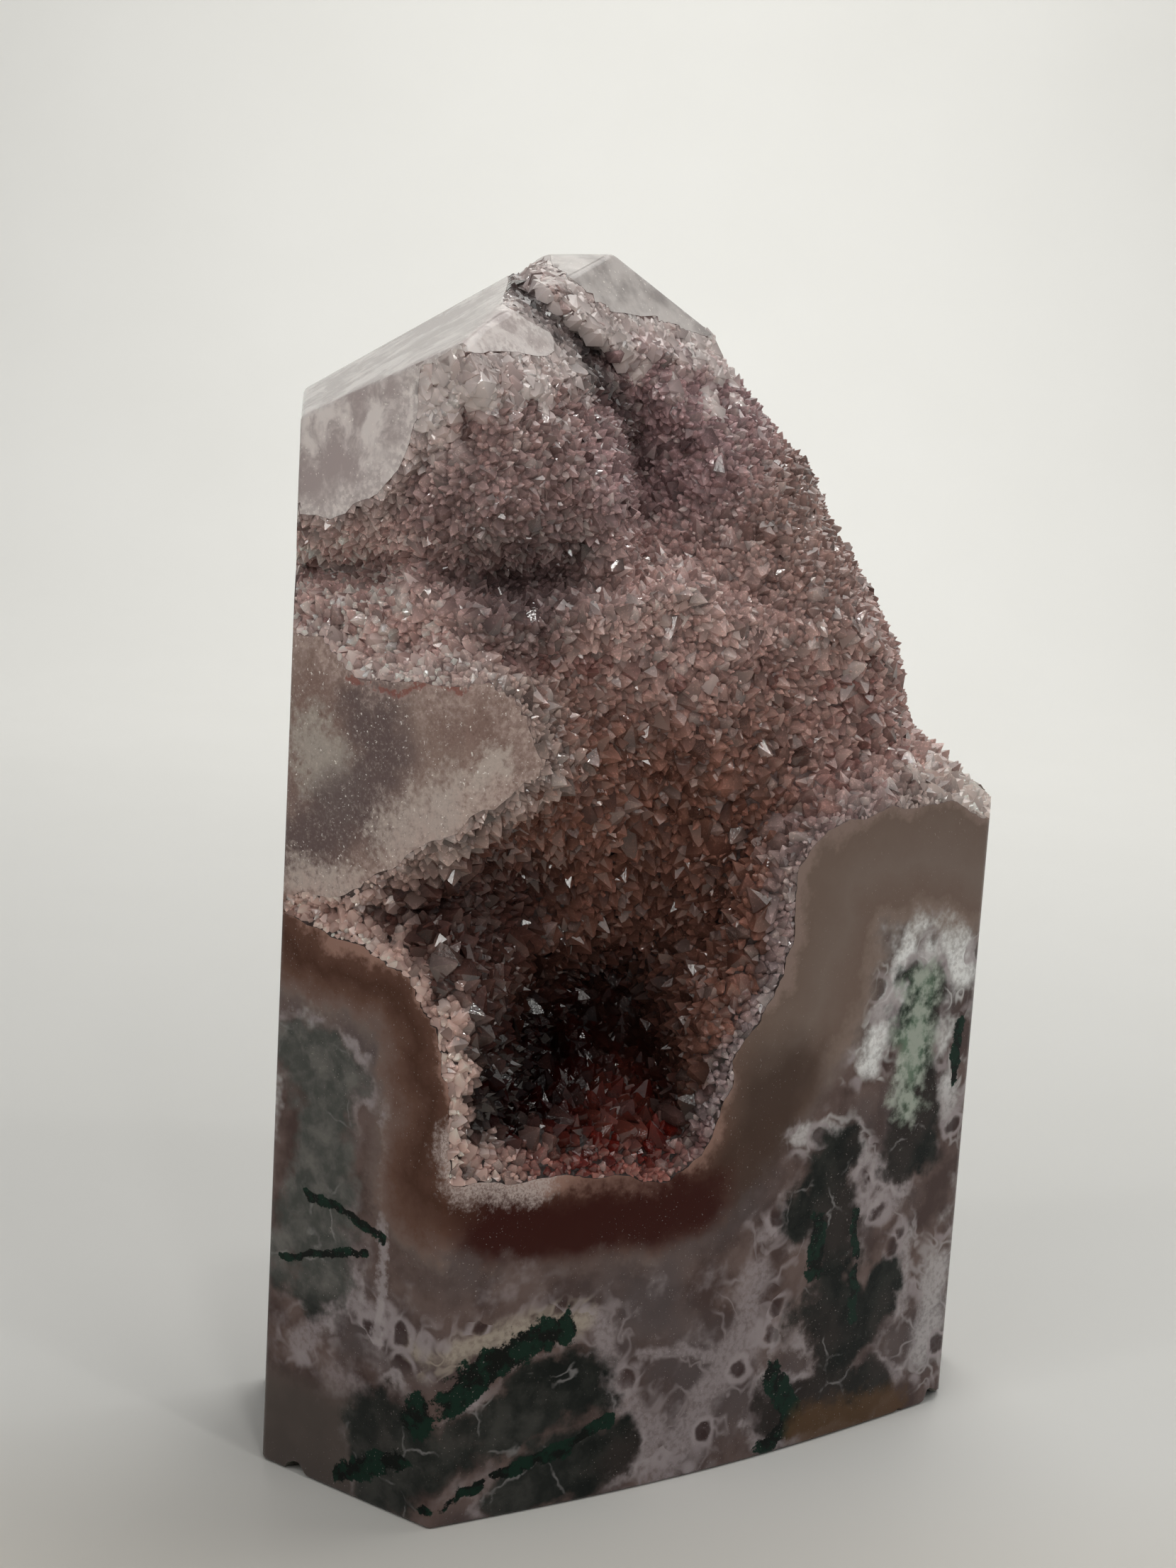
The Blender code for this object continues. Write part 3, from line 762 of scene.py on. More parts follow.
def crystal_mesh(name, points, corners, tints):
    """Make the joined crystals an object, ground flush with the polished faces."""
    points = points * MM
    for out, offset in zip(PLANE_NORMALS, PLANE_OFFSETS):
        proud = np.maximum(points @ out - offset + FLUSH * MM, 0.0)
        points = points - proud[:, None] * out
    mesh = bpy.data.meshes.new(name)
    mesh.from_pydata(points.tolist(), [], corners.tolist())
    tint = mesh.attributes.new("tint", "FLOAT_COLOR", "POINT")
    rgba = np.concatenate([tints, np.ones((len(tints), 1))], axis=1)
    tint.data.foreach_set("color", np.clip(rgba, 0.0, 1.0).astype(np.float32).ravel())
    made = bpy.data.objects.new(name, mesh)
    bpy.context.scene.collection.objects.link(made)
    print(name, "triangles", len(corners))
    return made


frosted = is_frosted(places[large])
deep = is_deep(places[large]) & ~frosted
clear = (rng.random(len(large)) < 0.08) & ~frosted & ~deep
plain = ~clear & ~frosted & ~deep
points_of_druse = set_out("druse_points", large[plain], 0.66, 1.15, 0.30, LARGE_SHAPES, rng)
clear_points = set_out("clear_points", large[clear], 0.74, 1.25, 0.32, LARGE_SHAPES, rng)
frosted_points = set_out("frosted_points", large[frosted], 0.70, 0.95, 0.34, LARGE_SHAPES, rng,
                         root=0.78)
pocket_points = set_out("pocket_points", large[deep], 0.66, 1.15, 0.30, LARGE_SHAPES, rng)
grains = set_out("druse_grains", small, 0.36, 1.25, 0.36, SMALL_SHAPES, rng)

# %% [markdown]
# ## Writing shader maths
# A material is a graph of nodes, but sums read better as sums.  A `Wire` stands for the
# output of a node, and adding or multiplying wires adds Math nodes.  Everything else comes
# from one method, `Finish.node`, which sets a node's options first and then its sockets.


# %% A wire and a finish
class Wire:
    """One output of a node in a finish, which joins in sums like a number."""

    def __init__(self, finish, socket):
        self.finish = finish
        self.socket = socket

    def join(self, operation, *values):
        return self.finish.node("ShaderNodeMath", {"operation": operation},
                                dict(enumerate(values)))

    def __add__(self, other):
        return self.join("ADD", self, other)

    def __sub__(self, other):
        return self.join("SUBTRACT", self, other)

    def __rsub__(self, other):
        return self.join("SUBTRACT", other, self)

    def __mul__(self, other):
        return self.join("MULTIPLY", self, other)

    def __truediv__(self, other):
        return self.join("DIVIDE", self, other)

    __radd__ = __add__
    __rmul__ = __mul__

    def clamp(self):
        return self.finish.node("ShaderNodeClamp", {}, {"Value": self})

    def least(self, other):
        return self.join("MINIMUM", self, other)

    def most(self, other):
        return self.join("MAXIMUM", self, other)

    def step(self, low, high):
        """Ease from 0 at low to 1 at high."""
        return self.finish.node("ShaderNodeMapRange", {"interpolation_type": "SMOOTHSTEP"},
                                {"Value": self, "From Min": low, "From Max": high})


class Finish:
    """One material, whose nodes are added by calls."""

    def __init__(self, name):
        self.material = bpy.data.materials.new(name)
        self.material.use_nodes = True
        self.tree = self.material.node_tree
        self.shader = self.tree.nodes["Principled BSDF"]
        self.place = self.node("ShaderNodeTexCoord", {}, {}, "Object")

    def node(self, kind, settings, inputs, output=0):
        """Add a node: its options, then its sockets' values or links.  Returns an output."""
        made = self.tree.nodes.new(kind)
        for name, value in settings.items():
            if name == "stops":
                ramp = made.color_ramp
                while len(ramp.elements) < len(value):
                    ramp.elements.new(0.5)
                for element, (position, colour) in zip(ramp.elements, value):
                    element.position = position
                    element.color = (*colour, 1.0)
            else:
                setattr(made, name, value)
        for name, value in inputs.items():
            self.put(made.inputs[name], value)
        return Wire(self, made.outputs[output])

    def put(self, socket, value):
        """Give a socket a wire's link or a plain value."""
        if isinstance(value, Wire):
            self.tree.links.new(value.socket, socket)
        elif isinstance(value, tuple) and len(value) == 3 and socket.type == "RGBA":
            socket.default_value = (*value, 1.0)
        else:
            socket.default_value = value

    def noise(self, size, detail=3.0, roughness=0.55, place=None, distortion=0.0):
        """Soft random values from 0 to 1, with features of the size in mm."""
        return self.node("ShaderNodeTexNoise", {}, {
            "Vector": place or self.place, "Scale": 1.0 / (size * MM), "Detail": detail,
            "Roughness": roughness, "Distortion": distortion}, "Fac")

    def cells(self, size, feature, output="Distance", place=None):
        """Cell pattern with cells of the size in mm."""
        return self.node("ShaderNodeTexVoronoi", {"feature": feature}, {
            "Vector": place or self.place, "Scale": 1.0 / (size * MM)}, output)

    def mix(self, amount, first, second, blend="MIX"):
        """Blend two colours."""
        return self.node("ShaderNodeMix", {"data_type": "RGBA", "blend_type": blend},
                         {0: amount, 6: first, 7: second}, 2)

    def ramp(self, value, stops):
        """Colour that follows a value through the stops."""
        return self.node("ShaderNodeValToRGB", {"stops": stops}, {0: value})

    def vector(self, operation, first, second=None, scale=None, output=0):
        """One Vector Math node."""
        inputs = {0: first}
        if second is not None:
            inputs[1] = second
        if scale is not None:
            inputs["Scale"] = scale
        return self.node("ShaderNodeVectorMath", {"operation": operation}, inputs, output)

    def wobble(self, size, amount, detail=3.0):
        """The object's coordinates, shaken by noise of a size, by an amount, both in mm."""
        shake = self.node("ShaderNodeTexNoise", {}, {
            "Vector": self.place, "Scale": 1.0 / (size * MM), "Detail": detail}, "Color")
        centred = self.vector("SUBTRACT", shake, (0.5, 0.5, 0.5))
        return self.vector("ADD", self.place, self.vector("SCALE", centred, scale=amount * MM))

    def stretch(self, route, radius, place):
        """1 along a route of points in mm, falling to 0 at the radius in mm."""
        nearest = None
        for start, end in zip(route, route[1:]):
            start, end = Vector(start) * MM, Vector(end) * MM
            run = end - start
            from_start = self.vector("SUBTRACT", place, tuple(start))
            share = self.vector("DOT_PRODUCT", from_start, tuple(run / run.length_squared),
                                output="Value").clamp()
            along = self.vector("SCALE", tuple(run), scale=share)
            gap = self.vector("DISTANCE", from_start, along, output="Value")
            nearest = gap if nearest is None else nearest.least(gap)
        return 1.0 - nearest / (radius * MM)

    def set(self, **values):
        """Give the closing shader its values; underscores stand for spaces."""
        for name, value in values.items():
            self.put(self.shader.inputs[name.replace("_", " ")], value)

    def bump(self, height, strength, distance):
        """Raise the surface in the light by a height, over a distance in mm."""
        self.set(Normal=self.node("ShaderNodeBump", {}, {
            "Strength": strength, "Distance": distance * MM, "Height": height}))


def on_front(*places):
    """Places on the polished front as (x, y, z), from (x, z) in mm."""
    return [(x, float(front_surface(np.array(x), np.array(z))), z) for x, z in places]


# %% [markdown]
# ## Banded quartz
# Agate grows inwards from the walls of a hollow, so its bands keep a constant distance from
# the crystal bed.  The stored distance, shaken by noise, goes through a colour ramp: pale
# roots of the crystals, a soft brown band, and greyish pink that fades into milky quartz.

# %% Polished quartz: noise at five sizes
quartz = Finish("polished_quartz")
shaken = quartz.wobble(7.5, 9.0, 4.0)
finely_shaken = quartz.wobble(2.4, 1.8, 4.0)
coarse = quartz.noise(12.0, 3.0)
medium = quartz.noise(4.5, 4.0)
small = quartz.noise(1.6, 4.0, 0.6)
fine = quartz.noise(0.55, 3.0, 0.6)
specks = quartz.noise(0.22, 2.0, 0.7)
parts_of_place = quartz.node("ShaderNodeSeparateXYZ", {}, {0: quartz.place}).socket.node.outputs
x_mm = Wire(quartz, parts_of_place[0]) / MM
y_mm = Wire(quartz, parts_of_place[1]) / MM
z_mm = Wire(quartz, parts_of_place[2]) / MM


def any_of(routes, place):
    """The nearest of several stretches: 1 along their routes, 0 at their radii."""
    nearest = None
    for route, radius in routes:
        here = quartz.stretch(route, radius, place)
        nearest = here if nearest is None else nearest.most(here)
    return nearest


# %% The bands beside the lower hollow
from_bed = quartz.node("ShaderNodeAttribute", {"attribute_name": "bed_distance"}, {}, "Fac")
right_part = x_mm.step(3.0, 12.0) * z_mm.step(26.0, 40.0)
band_width = 7.6 + 4.2 * right_part
band = (from_bed + (medium - 0.5) * 5.5 + (coarse - 0.5) * 6.0 + (fine - 0.5) * 1.6) / band_width
arch_band = quartz.ramp(band, [
    (0.0, (0.38, 0.22, 0.175)), (0.12, (0.140, 0.066, 0.046)), (0.36, (0.088, 0.036, 0.022)),
    (0.62, (0.155, 0.079, 0.058)), (0.86, (0.225, 0.150, 0.128)), (1.0, (0.25, 0.19, 0.17))])
right_band = quartz.ramp(band, [
    (0.0, (0.30, 0.215, 0.185)), (0.10, (0.205, 0.145, 0.118)), (0.45, (0.235, 0.176, 0.149)),
    (0.72, (0.21, 0.145, 0.118)), (0.88, (0.30, 0.225, 0.19)), (1.0, (0.29, 0.235, 0.21))])
bands = quartz.mix(right_part, arch_band, right_band)
shade_zone = any_of([(on_front((13.0, 36.0), (11.0, 28.0), (14.0, 22.0)), 6.5)], shaken)
bands = quartz.mix(shade_zone.step(-0.2, 0.7) * 0.85, bands, (0.065, 0.036, 0.026))
brick_zone = any_of([(on_front((-12.0, 26.5), (-7.0, 26.0), (0.0, 26.5), (5.9, 26.0)), 5.6)],
                    finely_shaken)
brick = (brick_zone + (medium - 0.5) * 0.9 + (fine - 0.5) * 0.25).step(0.0, 0.75)
bands = quartz.mix(brick * 0.97, bands, (0.042, 0.003, 0.001))
ground_points = any_of([(on_front((-15.6, 35.0), (-14.6, 31.6), (-8.7, 30.8)), 2.6)], finely_shaken)
ground_points = (ground_points + (fine - 0.5) * 1.4).step(-0.1, 0.7)
speckled = ground_points * (0.40 + 0.60 * specks.step(0.35, 0.60))
bands = quartz.mix(speckled, bands, (0.60, 0.49, 0.46))

# %% Milky quartz past the bands, with dark clear pods in it
mauve = quartz.mix(medium.step(0.35, 0.65), (0.085, 0.052, 0.047), (0.185, 0.128, 0.115))
mauve = quartz.mix(coarse.step(0.42, 0.68) * 0.8, mauve, (0.115, 0.092, 0.094))
LILAC = (0.42, 0.36, 0.37)
CREAM = (0.56, 0.48, 0.40)
MILK = [
    (on_front((-29.3, 12.5), (-25.2, 18.1), (-20.2, 16.7), (-14.7, 16.1), (-9.6, 17.3),
              (-2.7, 17.2)), 1.8),
    (on_front((12.1, 17.9), (10.9, 12.0), (7.5, 7.2), (4.6, 0.9)), 3.0),
    (on_front((-2.2, 16.5), (-1.2, 11.0), (3.0, 5.0)), 2.2),
    (on_front((1.1, 13.1), (5.4, 12.7), (9.9, 10.5)), 0.8),
    (on_front((25.5, 50.0), (23.0, 43.1), (21.7, 37.3)), 2.2),
    (on_front((28.5, 50.5), (30.8, 45.0)), 3.2),
    (on_front((27.0, 47.0), (25.0, 42.0)), 3.0),
    (on_front((30.2, 33.5), (30.8, 29.5)), 2.2),
    (on_front((12.3, 22.3), (16.8, 22.6), (21.4, 22.9), (25.0, 22.2)), 1.8),
    (on_front((15.0, 31.3), (19.6, 30.5), (24.1, 25.8)), 1.6),
    (on_front((27.0, 19.0), (27.1, 11.2)), 1.6),
    (on_front((31.0, 14.0), (30.1, 6.1)), 3.0),
    ([(30.0, 26.0, 50.0), (10.0, 24.0, 40.0), (-8.0, 14.0, 50.0)], 6.0),
    ([(34.0, 10.0, 60.0), (25.0, 22.0, 8.0), (0.0, 18.5, 4.0)], 4.0),
    ([(-34.5, -3.0, 60.0), (-20.0, 8.0, 12.0)], 4.0),
]
milk_field = any_of(MILK, finely_shaken) + (medium - 0.5) * 1.5 + (small - 0.5) * 0.7
milk = (milk_field.step(0.0, 0.7)).most(quartz.noise(7.0, 4.0, 0.6).step(0.56, 0.70) * 0.7)
bright_part = z_mm.step(24.0, 40.0).most(x_mm.step(24.0, 31.0) * 0.32)
milk = milk * (0.40 + 0.35 * fine.step(0.3, 0.6) + 0.25 * bright_part)
folds = quartz.noise(3.6, 2.0, 0.5, distortion=0.5) - 0.5
lace = 0.55 - folds.join("ABSOLUTE", folds).step(0.0, 0.060) * 0.55
milk = milk.most(lace * milk_field.step(-1.0, 0.2))
bright_milk = quartz.mix(bright_part, LILAC, (1.00, 1.00, 0.99))
cream_zone = any_of([(on_front((-18.0, 15.0), (-12.0, 16.5), (-4.8, 17.8)), 3.0)], finely_shaken)
bright_milk = quartz.mix(cream_zone.step(0.0, 0.6), bright_milk, CREAM)
cloud = quartz.mix(milk, mauve, bright_milk)
# painted shade: the cloudy quartz is darkened at the lower left of the front
low_left_shade = x_mm.step(-16.0, -23.0) * z_mm.step(11.0, 7.0)
cloud = quartz.mix(low_left_shade * 0.85, cloud, (0.105, 0.085, 0.075))
pod_place = quartz.wobble(3.0, 2.2, 2.0)
pod_distance = quartz.cells(3.3, "F1", place=pod_place)
pod_centre = quartz.cells(3.3, "F1", "Position", place=pod_place)
pod_zone = quartz.noise(2.0, place=pod_centre).step(0.48, 0.52) * milk_field.step(-0.9, 0.1)
pod = (1.0 - (pod_distance + (small - 0.5) * 0.3).step(0.24, 0.40)) * pod_zone
pod_rim = pod_distance.step(0.30, 0.40) * (1.0 - pod_distance.step(0.44, 0.60)) * pod_zone
cloud = quartz.mix(pod_rim * 0.8, cloud, LILAC)
cloud = quartz.mix(pod * 0.85, cloud, (0.045, 0.022, 0.022))

# %% Clear quartz
smoky = quartz.noise(3.0, 4.0, 0.6, place=finely_shaken).step(0.36, 0.72)
clear_grey = quartz.mix(smoky, (0.003, 0.006, 0.005), (0.028, 0.030, 0.026))
clear_grey = quartz.mix(coarse.step(0.45, 0.62) * 0.6, clear_grey, (0.042, 0.028, 0.026))
veiled = quartz.mix(smoky, (0.080, 0.083, 0.076), (0.205, 0.193, 0.180))
veil_part = x_mm.step(-14.0, -22.0) * z_mm.step(14.0, 20.0)
veil_part = veil_part.most(x_mm.step(0.0, -8.0) * z_mm.step(14.0, 8.0) * 0.18)
clear_grey = quartz.mix(veil_part, clear_grey, veiled)
ZONES = [
    (on_front((-28.4, 37.5), (-28.0, 20.0)), 5.0),
    (on_front((18.0, 26.5), (20.0, 12.0)), 5.0),
    (on_front((24.3, 14.0), (20.8, 8.3)), 4.0),
    (on_front((-22.0, 4.5), (-12.0, 8.5), (-4.8, 11.0)), 5.0),
    (on_front((-10.0, 2.5), (-1.0, 4.0)), 4.2),
    (on_front((26.2, 43.5), (26.8, 27.0)), 4.2),
    (on_front((15.0, 5.0), (24.0, 3.0)), 3.6),
    ([(34.0, 10.0, 40.0), (34.3, 12.0, 15.0)], 5.0),
    ([(26.0, 23.0, 22.0), (5.0, 20.0, 12.0)], 8.0),
    ([(-10.0, 13.5, 45.0), (-22.0, 7.0, 25.0)], 7.0),
    ([(10.0, 24.5, 70.0), (-8.0, 14.5, 78.0)], 6.0),
    ([(-34.0, -4.0, 20.0), (-33.4, -8.0, 8.0)], 5.0),
]
clear_field = any_of(ZONES, shaken) + (quartz.noise(8.0, 3.0) - 0.5) * 1.6
clear_field = clear_field + (small - 0.5) * 0.7
clear_mask = clear_field.step(0.0, 0.42)
beyond = quartz.mix(clear_mask, cloud, clear_grey)
zone_edge = (clear_field - 0.05).join("ABSOLUTE", clear_field - 0.05)
wisps = (1.0 - zone_edge.step(0.0, 0.22)) * coarse.step(0.40, 0.58) * medium.step(0.36, 0.62)
seam = any_of([(on_front((-21.8, 15.3), (-21.8, 25.0), (-22.0, 36.8)), 0.9)], finely_shaken)
wisps = wisps.most((seam + (fine - 0.5) * 1.5).step(0.1, 0.8))
beyond = quartz.mix(wisps * 0.7, beyond, (0.50, 0.44, 0.45))
healed = quartz.cells(5.5, "DISTANCE_TO_EDGE", place=quartz.wobble(3.0, 3.0, 3.0))
cracks = (1.0 - healed.step(0.0, 0.035)) * medium.step(0.48, 0.62) * clear_mask
beyond = quartz.mix(cracks * 0.5, beyond, (0.40, 0.38, 0.38))

# %% Green threads, pale green cloud and the orange patch
green_cloud = any_of([(on_front((26.6, 44.0), (26.0, 33.0)), 4.0)], finely_shaken)
green_cloud = (green_cloud + (medium - 0.5) * 2.2 + (small - 0.5) * 1.6).step(0.10, 0.9)
beyond = quartz.mix(green_cloud * 0.75, beyond, quartz.mix(
    small.step(0.36, 0.60), (0.20, 0.30, 0.21), (0.58, 0.64, 0.55)))
THREADS = [
    (on_front((-29.0, 26.5), (-25.2, 26.2), (-21.9, 24.9)), 0.62),
    (on_front((-31.2, 19.9), (-23.4, 23.2)), 0.52),
    (on_front((-18.3, 9.6), (-13.6, 13.3), (-8.6, 16.1), (-5.6, 16.6)), 2.0),
    (on_front((-24.8, 2.0), (-19.3, 5.4)), 1.2),
    (on_front((-17.1, 1.6), (-12.4, 3.6), (-5.7, 5.1), (-1.2, 7.3)), 0.8),
    (on_front((17.5, 22.3), (17.6, 17.5)), 1.3),
    (on_front((21.4, 22.5), (22.0, 11.8)), 0.6),
    (on_front((14.0, 8.3), (16.6, 3.2), (14.1, 1.2)), 1.5),
    (on_front((31.2, 39.3), (31.0, 34.0)), 0.9),
    ([(20.0, 27.5, 30.0), (10.0, 24.0, 18.0), (2.0, 18.5, 14.0)], 1.6),
    ([(-15.0, 11.0, 38.0), (-20.0, 8.0, 27.0)], 1.2),
]
threads = any_of(THREADS, finely_shaken)
moss = (threads + (small - 0.5) * 2.2 + (specks - 0.5) * 0.5).step(0.10, 0.32)
green = quartz.mix(small.step(0.42, 0.58), (0.001, 0.003, 0.002), (0.003, 0.024, 0.014))
beyond = quartz.mix(moss, beyond, green)
orange = any_of([(on_front((17.7, 1.9), (27.0, 1.0)), 3.4)], finely_shaken)
beyond = quartz.mix((orange + (small - 0.5) * 0.9).step(0.1, 0.7) * 0.85, beyond, (0.125, 0.066, 0.03))

# %% Join the bands to what lies past them
past_band = (band + (small - 0.5) * 0.35).step(0.78, 1.18)
lower = quartz.mix(past_band, bands, beyond)
# partly painted highlights: small pale flecks, partly specks in the quartz and partly painted glints
# on the polish
flecks_and_glints = quartz.noise(0.18, 1.0, 0.5).step(0.70, 0.76) * coarse.step(0.36, 0.56)
lower = quartz.mix(flecks_and_glints * 0.45, lower, (0.55, 0.48, 0.46))

# %% Pale quartz of the island and the upper faces
smoke = any_of([(on_front((-24.8, 71.0), (-23.6, 66.8), (-25.8, 62.6), (-30.8, 58.4)), 3.6)],
               finely_shaken)
grey_cloud = any_of([(on_front((-30.0, 67.0), (-28.0, 63.8)), 4.4)], finely_shaken)
white_cloud = any_of([(on_front((-22.0, 60.5), (-17.8, 63.6)), 3.6),
                      (on_front((-17.6, 64.6), (-14.0, 67.4)), 2.2),
                      (on_front((-31.0, 55.0), (-26.5, 55.0)), 2.4)], finely_shaken)
pale = quartz.mix(coarse.step(0.35, 0.65), (0.29, 0.192, 0.166), (0.38, 0.275, 0.238))
grey_mask = (grey_cloud + (small - 0.5) * 1.1 + (fine - 0.5) * 1.2).step(-0.1, 0.7)
pale = quartz.mix(grey_mask * 0.9, pale, (0.50, 0.44, 0.39))
pale = quartz.mix((smoke + (medium - 0.5) * 1.4).step(-0.5, 0.7) * 0.9, pale, (0.160, 0.115, 0.113))
whitish = (white_cloud + (small - 0.5) * 1.6 + (fine - 0.5) * 1.8).step(-0.2, 0.9)
pale = quartz.mix(whitish * 0.9, pale, (0.62, 0.52, 0.47))
rim_white = 1.0 - (from_bed + (medium - 0.5) * 6.0 + (small - 0.5) * 6.0).step(0.0, 3.2)
rim_white = rim_white * (0.40 + 0.60 * fine.step(0.40, 0.60))
pale = quartz.mix(rim_white * 0.7, pale, (0.60, 0.46, 0.415))
grain = (fine - 0.5) * 1.3 + (specks - 0.5) * 1.5
pale = quartz.mix(grain.step(0.0, 0.8) * 0.55, pale, (0.80, 0.69, 0.63))
pale = quartz.mix(grain.step(0.0, -0.8) * 0.55, pale, (0.11, 0.070, 0.062))
iron = any_of([(on_front((-26.9, 73.0), (-22.8, 72.2), (-20.3, 73.6), (-16.6, 73.6)), 0.55)],
              finely_shaken)
pale = quartz.mix((iron + (fine - 0.5) * 3.0).step(0.3, 0.9) * 0.7, pale, (0.26, 0.06, 0.045))
behind = y_mm.step(4.0, 12.0)
wavy_z = z_mm + behind * ((coarse - 0.5) * 50.0 + (medium - 0.5) * 16.0)
low_right = x_mm.step(4.0, 6.0 + 30.0 * behind) * (1.0 - wavy_z.step(62.0, 66.0))
upper = (wavy_z + (medium - 0.5) * 6.0).step(51.5, 54.0 + 6.0 * behind) * (1.0 - low_right)
colour = quartz.mix(upper, lower, pale)
top_part = (wavy_z + (small - 0.5) * 4.0).step(79.0, 84.0 + 10.0 * behind)
frosty = rim_white.most(quartz.noise(5.0, 5.0, 0.65, place=shaken).step(0.44, 0.64))
top_colour = quartz.mix(frosty * 0.85, (0.50, 0.42, 0.41), (0.95, 0.87, 0.84))
peak_facet = z_mm.step(101.5, 103.0) * x_mm.step(-14.0, -11.0)
top_colour = quartz.mix(peak_facet * 0.85, top_colour, quartz.mix(
    medium.step(0.35, 0.6), (0.37, 0.335, 0.325), (0.70, 0.65, 0.625)))
colour = quartz.mix(top_part, colour, top_colour)
glints = quartz.noise(0.26, 1.0, 0.5).step(0.68, 0.73) * small.step(0.38, 0.55)
colour = quartz.mix(glints * upper * 0.8, colour, (1.0, 0.95, 0.90))

# %% Finish of the polished faces
quartz.set(Base_Color=colour, Roughness=0.07 + 0.10 * fine.step(0.55, 0.8), IOR=1.544,
           Specular_IOR_Level=0.14, Subsurface_Weight=0.12, Subsurface_Scale=1.0 * MM,
           Subsurface_Radius=(1.0, 0.75, 0.65))
quartz.bump(quartz.noise(14.0, 1.0) + medium * 0.03, 0.25, 0.2)
print("polished quartz has", len(quartz.tree.nodes), "nodes")

# %% Crystal bed under the points, and the broken rind at the base
bed_finish = Finish("crystal_bed")
bed_z = bed_finish.node("ShaderNodeSeparateXYZ", {}, {0: bed_finish.place}, 2) / MM
grit = bed_finish.noise(0.5, 3.0, 0.65)
# partly painted shade: the bed is darker than the crystals so the gaps between them read as shade, and
# it turns dark red lower down, in the bowl and pocket, partly its iron colour
dark_red = bed_finish.mix(grit.step(0.3, 0.7), (0.010, 0.004, 0.003), (0.045, 0.020, 0.016))
mauve_bed = bed_finish.mix(grit.step(0.3, 0.7), (0.12, 0.075, 0.070), (0.27, 0.18, 0.165))
bed_colour = bed_finish.mix(bed_z.step(48.0, 70.0), dark_red, mauve_bed)
rind = bed_finish.mix(grit.step(0.35, 0.65), (0.02, 0.035, 0.028), (0.16, 0.14, 0.11))
bed_colour = bed_finish.mix(1.0 - bed_z.step(8.0, 12.0), bed_colour, rind)
bed_finish.set(Base_Color=bed_colour, Roughness=0.35 + 0.3 * grit, IOR=1.544)
bed_finish.bump(bed_finish.cells(0.45, "F1") + grit * 0.5, 0.7, 0.15)
body.data.materials.append(quartz.material)
body.data.materials.append(bed_finish.material)

# %% [markdown]
# ## Crystal quartz
# Light passes through the points and comes back from the bed with the bed's colour.  Plain
# transmission with quartz's index of refraction does this, and each point's own tint says
# how much iron it holds.


# %% Crystal finishes
def crystal_finish(name, transmission, roughness, lift, gain=2.2, shine=0.6, depth=0.12):
    """Clear or cloudy quartz that takes its tint from the crystals' own colours."""
    made = Finish(name)
    tint = made.node("ShaderNodeAttribute", {"attribute_name": "tint"}, {}, "Color")
    veil = made.noise(0.35, 2.0)
    lighter = made.mix(1.0, tint, (gain, 0.95 * gain, 0.95 * gain), "MULTIPLY")
    colour = made.mix(veil.step(0.5, 0.75) * lift, tint, lighter)
    # partly painted highlights: small bright flecks, partly fractures in the quartz and partly painted
    # glints
    fracture_and_glints = made.noise(0.20, 1.0).step(0.64, 0.72)
    colour = made.mix(fracture_and_glints * 0.5, colour, lighter)
    made.set(Base_Color=colour, Roughness=roughness + 0.10 * veil.step(0.5, 0.8), IOR=1.544,
             Specular_IOR_Level=shine, Transmission_Weight=transmission, Subsurface_Weight=depth,
             Subsurface_Scale=0.6 * MM, Subsurface_Radius=(1.0, 0.7, 0.6))
    made.bump(made.noise(0.28, 2.0), 0.28, 0.06)
    return made.material


points_of_druse.data.materials.append(crystal_finish("druse_crystals", 0.28, 0.04, 0.35))
grains.data.materials.append(crystal_finish("druse_grains", 0.16, 0.08, 0.35))
clear_points.data.materials.append(crystal_finish("clear_crystals", 0.60, 0.02, 0.50))
frosted_points.data.materials.append(
    crystal_finish("frosted_crystals", 0.22, 0.08, 0.30, gain=1.15, shine=0.6, depth=0.0))
pocket_points.data.materials.append(
    crystal_finish("pocket_crystals", 0.28, 0.12, 0.35, shine=0.14, depth=0.0))

# %% Ride on the stone's body
for piece in (body, points_of_druse, clear_points, frosted_points, pocket_points, grains):
    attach(piece, "root")
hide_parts("polished_stone")
for piece in (points_of_druse, clear_points, frosted_points, pocket_points, grains):
    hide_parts("crystal_crust")

# %% [markdown]
# ## Floor, light and camera
# The tower stands on one pale sheet that curves up behind it.  A large soft light overhead
# and a little behind leaves the front in its own soft shade, with small bright glints.

# %% Pale sheet
SHEET_BACK = 0.42
SHEET_CURVE = 0.25


def pale_sheet():
    """A floor that turns up into a backdrop in one smooth bend."""
    bm = bmesh.new()
    bmesh.ops.create_grid(bm, x_segments=2, y_segments=60, size=1.0)
    for vert in bm.verts:
        run = (vert.co.y + 1.0) * 0.9 - 0.6
        turn = np.clip((run - SHEET_BACK) / SHEET_CURVE, 0.0, np.pi / 2.0)
        rest = max(run - SHEET_BACK - SHEET_CURVE * np.pi / 2.0, 0.0)
        y = min(run, SHEET_BACK) + SHEET_CURVE * np.sin(turn)
        z = SHEET_CURVE * (1.0 - np.cos(turn)) + rest
        vert.co = Vector((vert.co.x * 1.2, y, z))
    bmesh.ops.recalc_face_normals(bm, faces=bm.faces)
    made = finish(bm, "pale_sheet")
    made.data.shade_smooth()
    return made


sheet = pale_sheet()
paper = Finish("pale_paper")
paper_y = paper.node("ShaderNodeSeparateXYZ", {}, {0: paper.place}, 1) / MM
paper_colour = paper.mix(paper.noise(60.0, 2.0), (0.80, 0.79, 0.765), (0.84, 0.83, 0.81))
# painted light: the sheet is tinted warmer towards the front, standing in for the warm cast near the
# tower
paper.set(Base_Color=paper.mix(paper_y.step(0.0, -60.0), paper_colour, (0.81, 0.765, 0.695)),
          Roughness=0.75)
sheet.data.materials.append(paper.material)

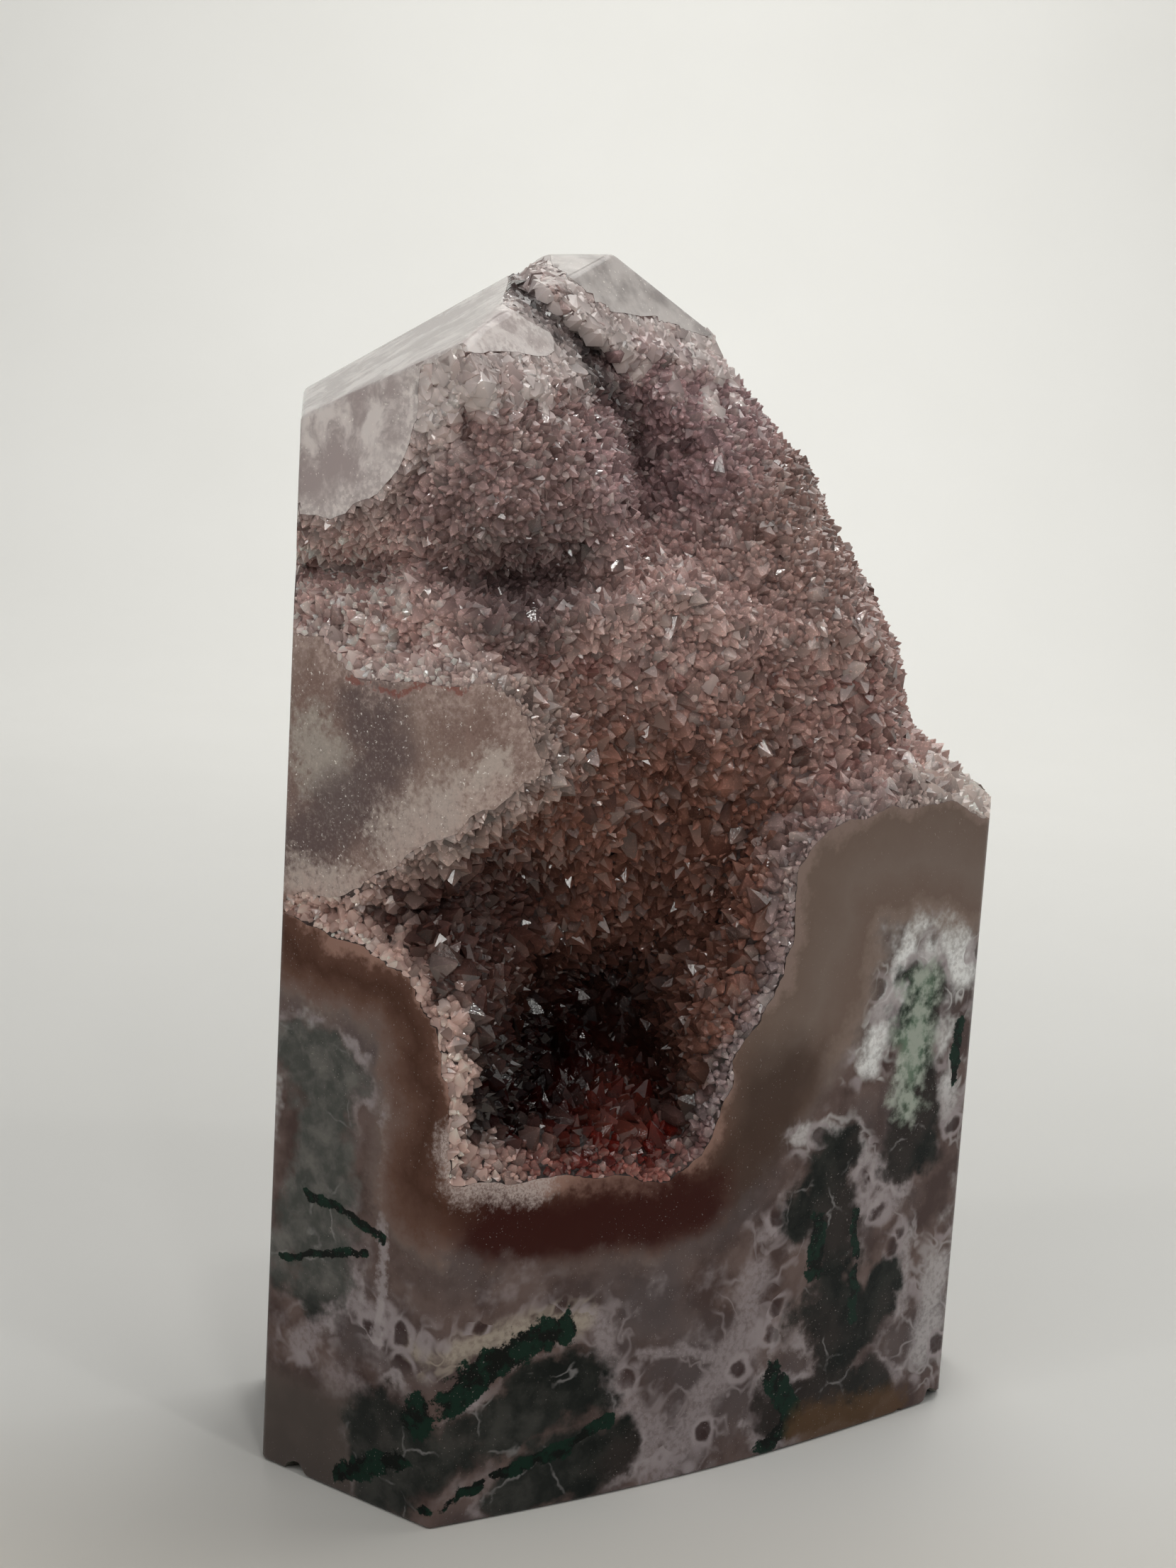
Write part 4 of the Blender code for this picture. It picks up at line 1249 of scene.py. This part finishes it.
# %% Light
WARM_WHITE = (1.0, 1.0, 0.965)


def soft_light(name, place, target, size, power, colour):
    """One square area light, aimed at a target."""
    data = bpy.data.lights.new(name, "AREA")
    data.size = size
    data.energy = power
    data.color = colour
    made = bpy.data.objects.new(name, data)
    made.location = place
    made.rotation_euler = (Vector(target) - Vector(place)).to_track_quat("-Z", "Y").to_euler()
    bpy.context.scene.collection.objects.link(made)
    return made


soft_light("overhead", (0.12, 0.22, 0.55), (0.0, 0.08, 0.0), 0.35, 0.80, WARM_WHITE)
soft_light("right", (0.30, 0.10, 0.50), (0.0, 0.0, 0.04), 0.25, 0.30, WARM_WHITE)
soft_light("front_left", (-0.25, -0.35, 0.45), (0.0, 0.0, 0.06), 0.30, 0.37, WARM_WHITE)
soft_light("front_right", (0.25, -0.25, 0.40), (0.0, 0.0, 0.06), 0.20, 0.20, WARM_WHITE)
soft_light("on_the_backdrop", (0.0, 0.45, 0.60), (0.0, 0.75, 0.35), 0.50, 2.20, WARM_WHITE)
upper_fill = soft_light("upper_fill", (-0.05, -0.35, 0.17), (0.0, 0.0, 0.090), 0.10, 0.006,
                        WARM_WHITE)
upper_fill.data.spread = radians(26.0)
soft_light("sparkle_right", (0.30, -0.30, 0.55), (0.0, 0.0, 0.06), 0.03, 0.17, WARM_WHITE)
soft_light("sparkle_left", (-0.32, -0.25, 0.50), (0.0, 0.0, 0.06), 0.03, 0.15, WARM_WHITE)
soft_light("sparkle_above", (0.02, -0.16, 0.60), (0.0, 0.0, 0.06), 0.03, 0.15, WARM_WHITE)
soft_light("sparkle_front", (0.10, -0.42, 0.38), (0.0, 0.0, 0.06), 0.03, 0.10, WARM_WHITE)
world = bpy.data.worlds.new("studio")
bpy.context.scene.world = world
world.use_nodes = True
world.node_tree.nodes["Background"].inputs["Color"].default_value = (0.95, 0.97, 1.0, 1.0)
world.node_tree.nodes["Background"].inputs["Strength"].default_value = 0.12
bpy.context.scene.view_settings.view_transform = "Standard"

# %% Camera
PHOTO_HEIGHT = 2212
FOCAL_PIXELS = 3325
SENSOR = 36.0
CAMERA_PLACE = (-6.4, -219.0, 100.0)
PITCH = radians(10.0)
ROLL = radians(3.4)
lens = bpy.data.cameras.new("camera")
lens.sensor_fit = "VERTICAL"
lens.sensor_height = SENSOR
lens.lens = FOCAL_PIXELS / PHOTO_HEIGHT * SENSOR
lens.clip_start = 0.005
camera = bpy.data.objects.new("camera", lens)
forward = Vector((0.0, np.cos(PITCH), -np.sin(PITCH)))
level = Vector((1.0, 0.0, 0.0))
upright = level.cross(forward)
right = level * np.cos(ROLL) + upright * np.sin(ROLL)
up = -level * np.sin(ROLL) + upright * np.cos(ROLL)
camera.matrix_world = (Matrix.Translation(Vector(CAMERA_PLACE) * MM)
                       @ Matrix((right, up, -forward)).transposed().to_4x4())
bpy.context.scene.collection.objects.link(camera)
bpy.context.scene.camera = camera
print("lens in mm", round(lens.lens, 1))
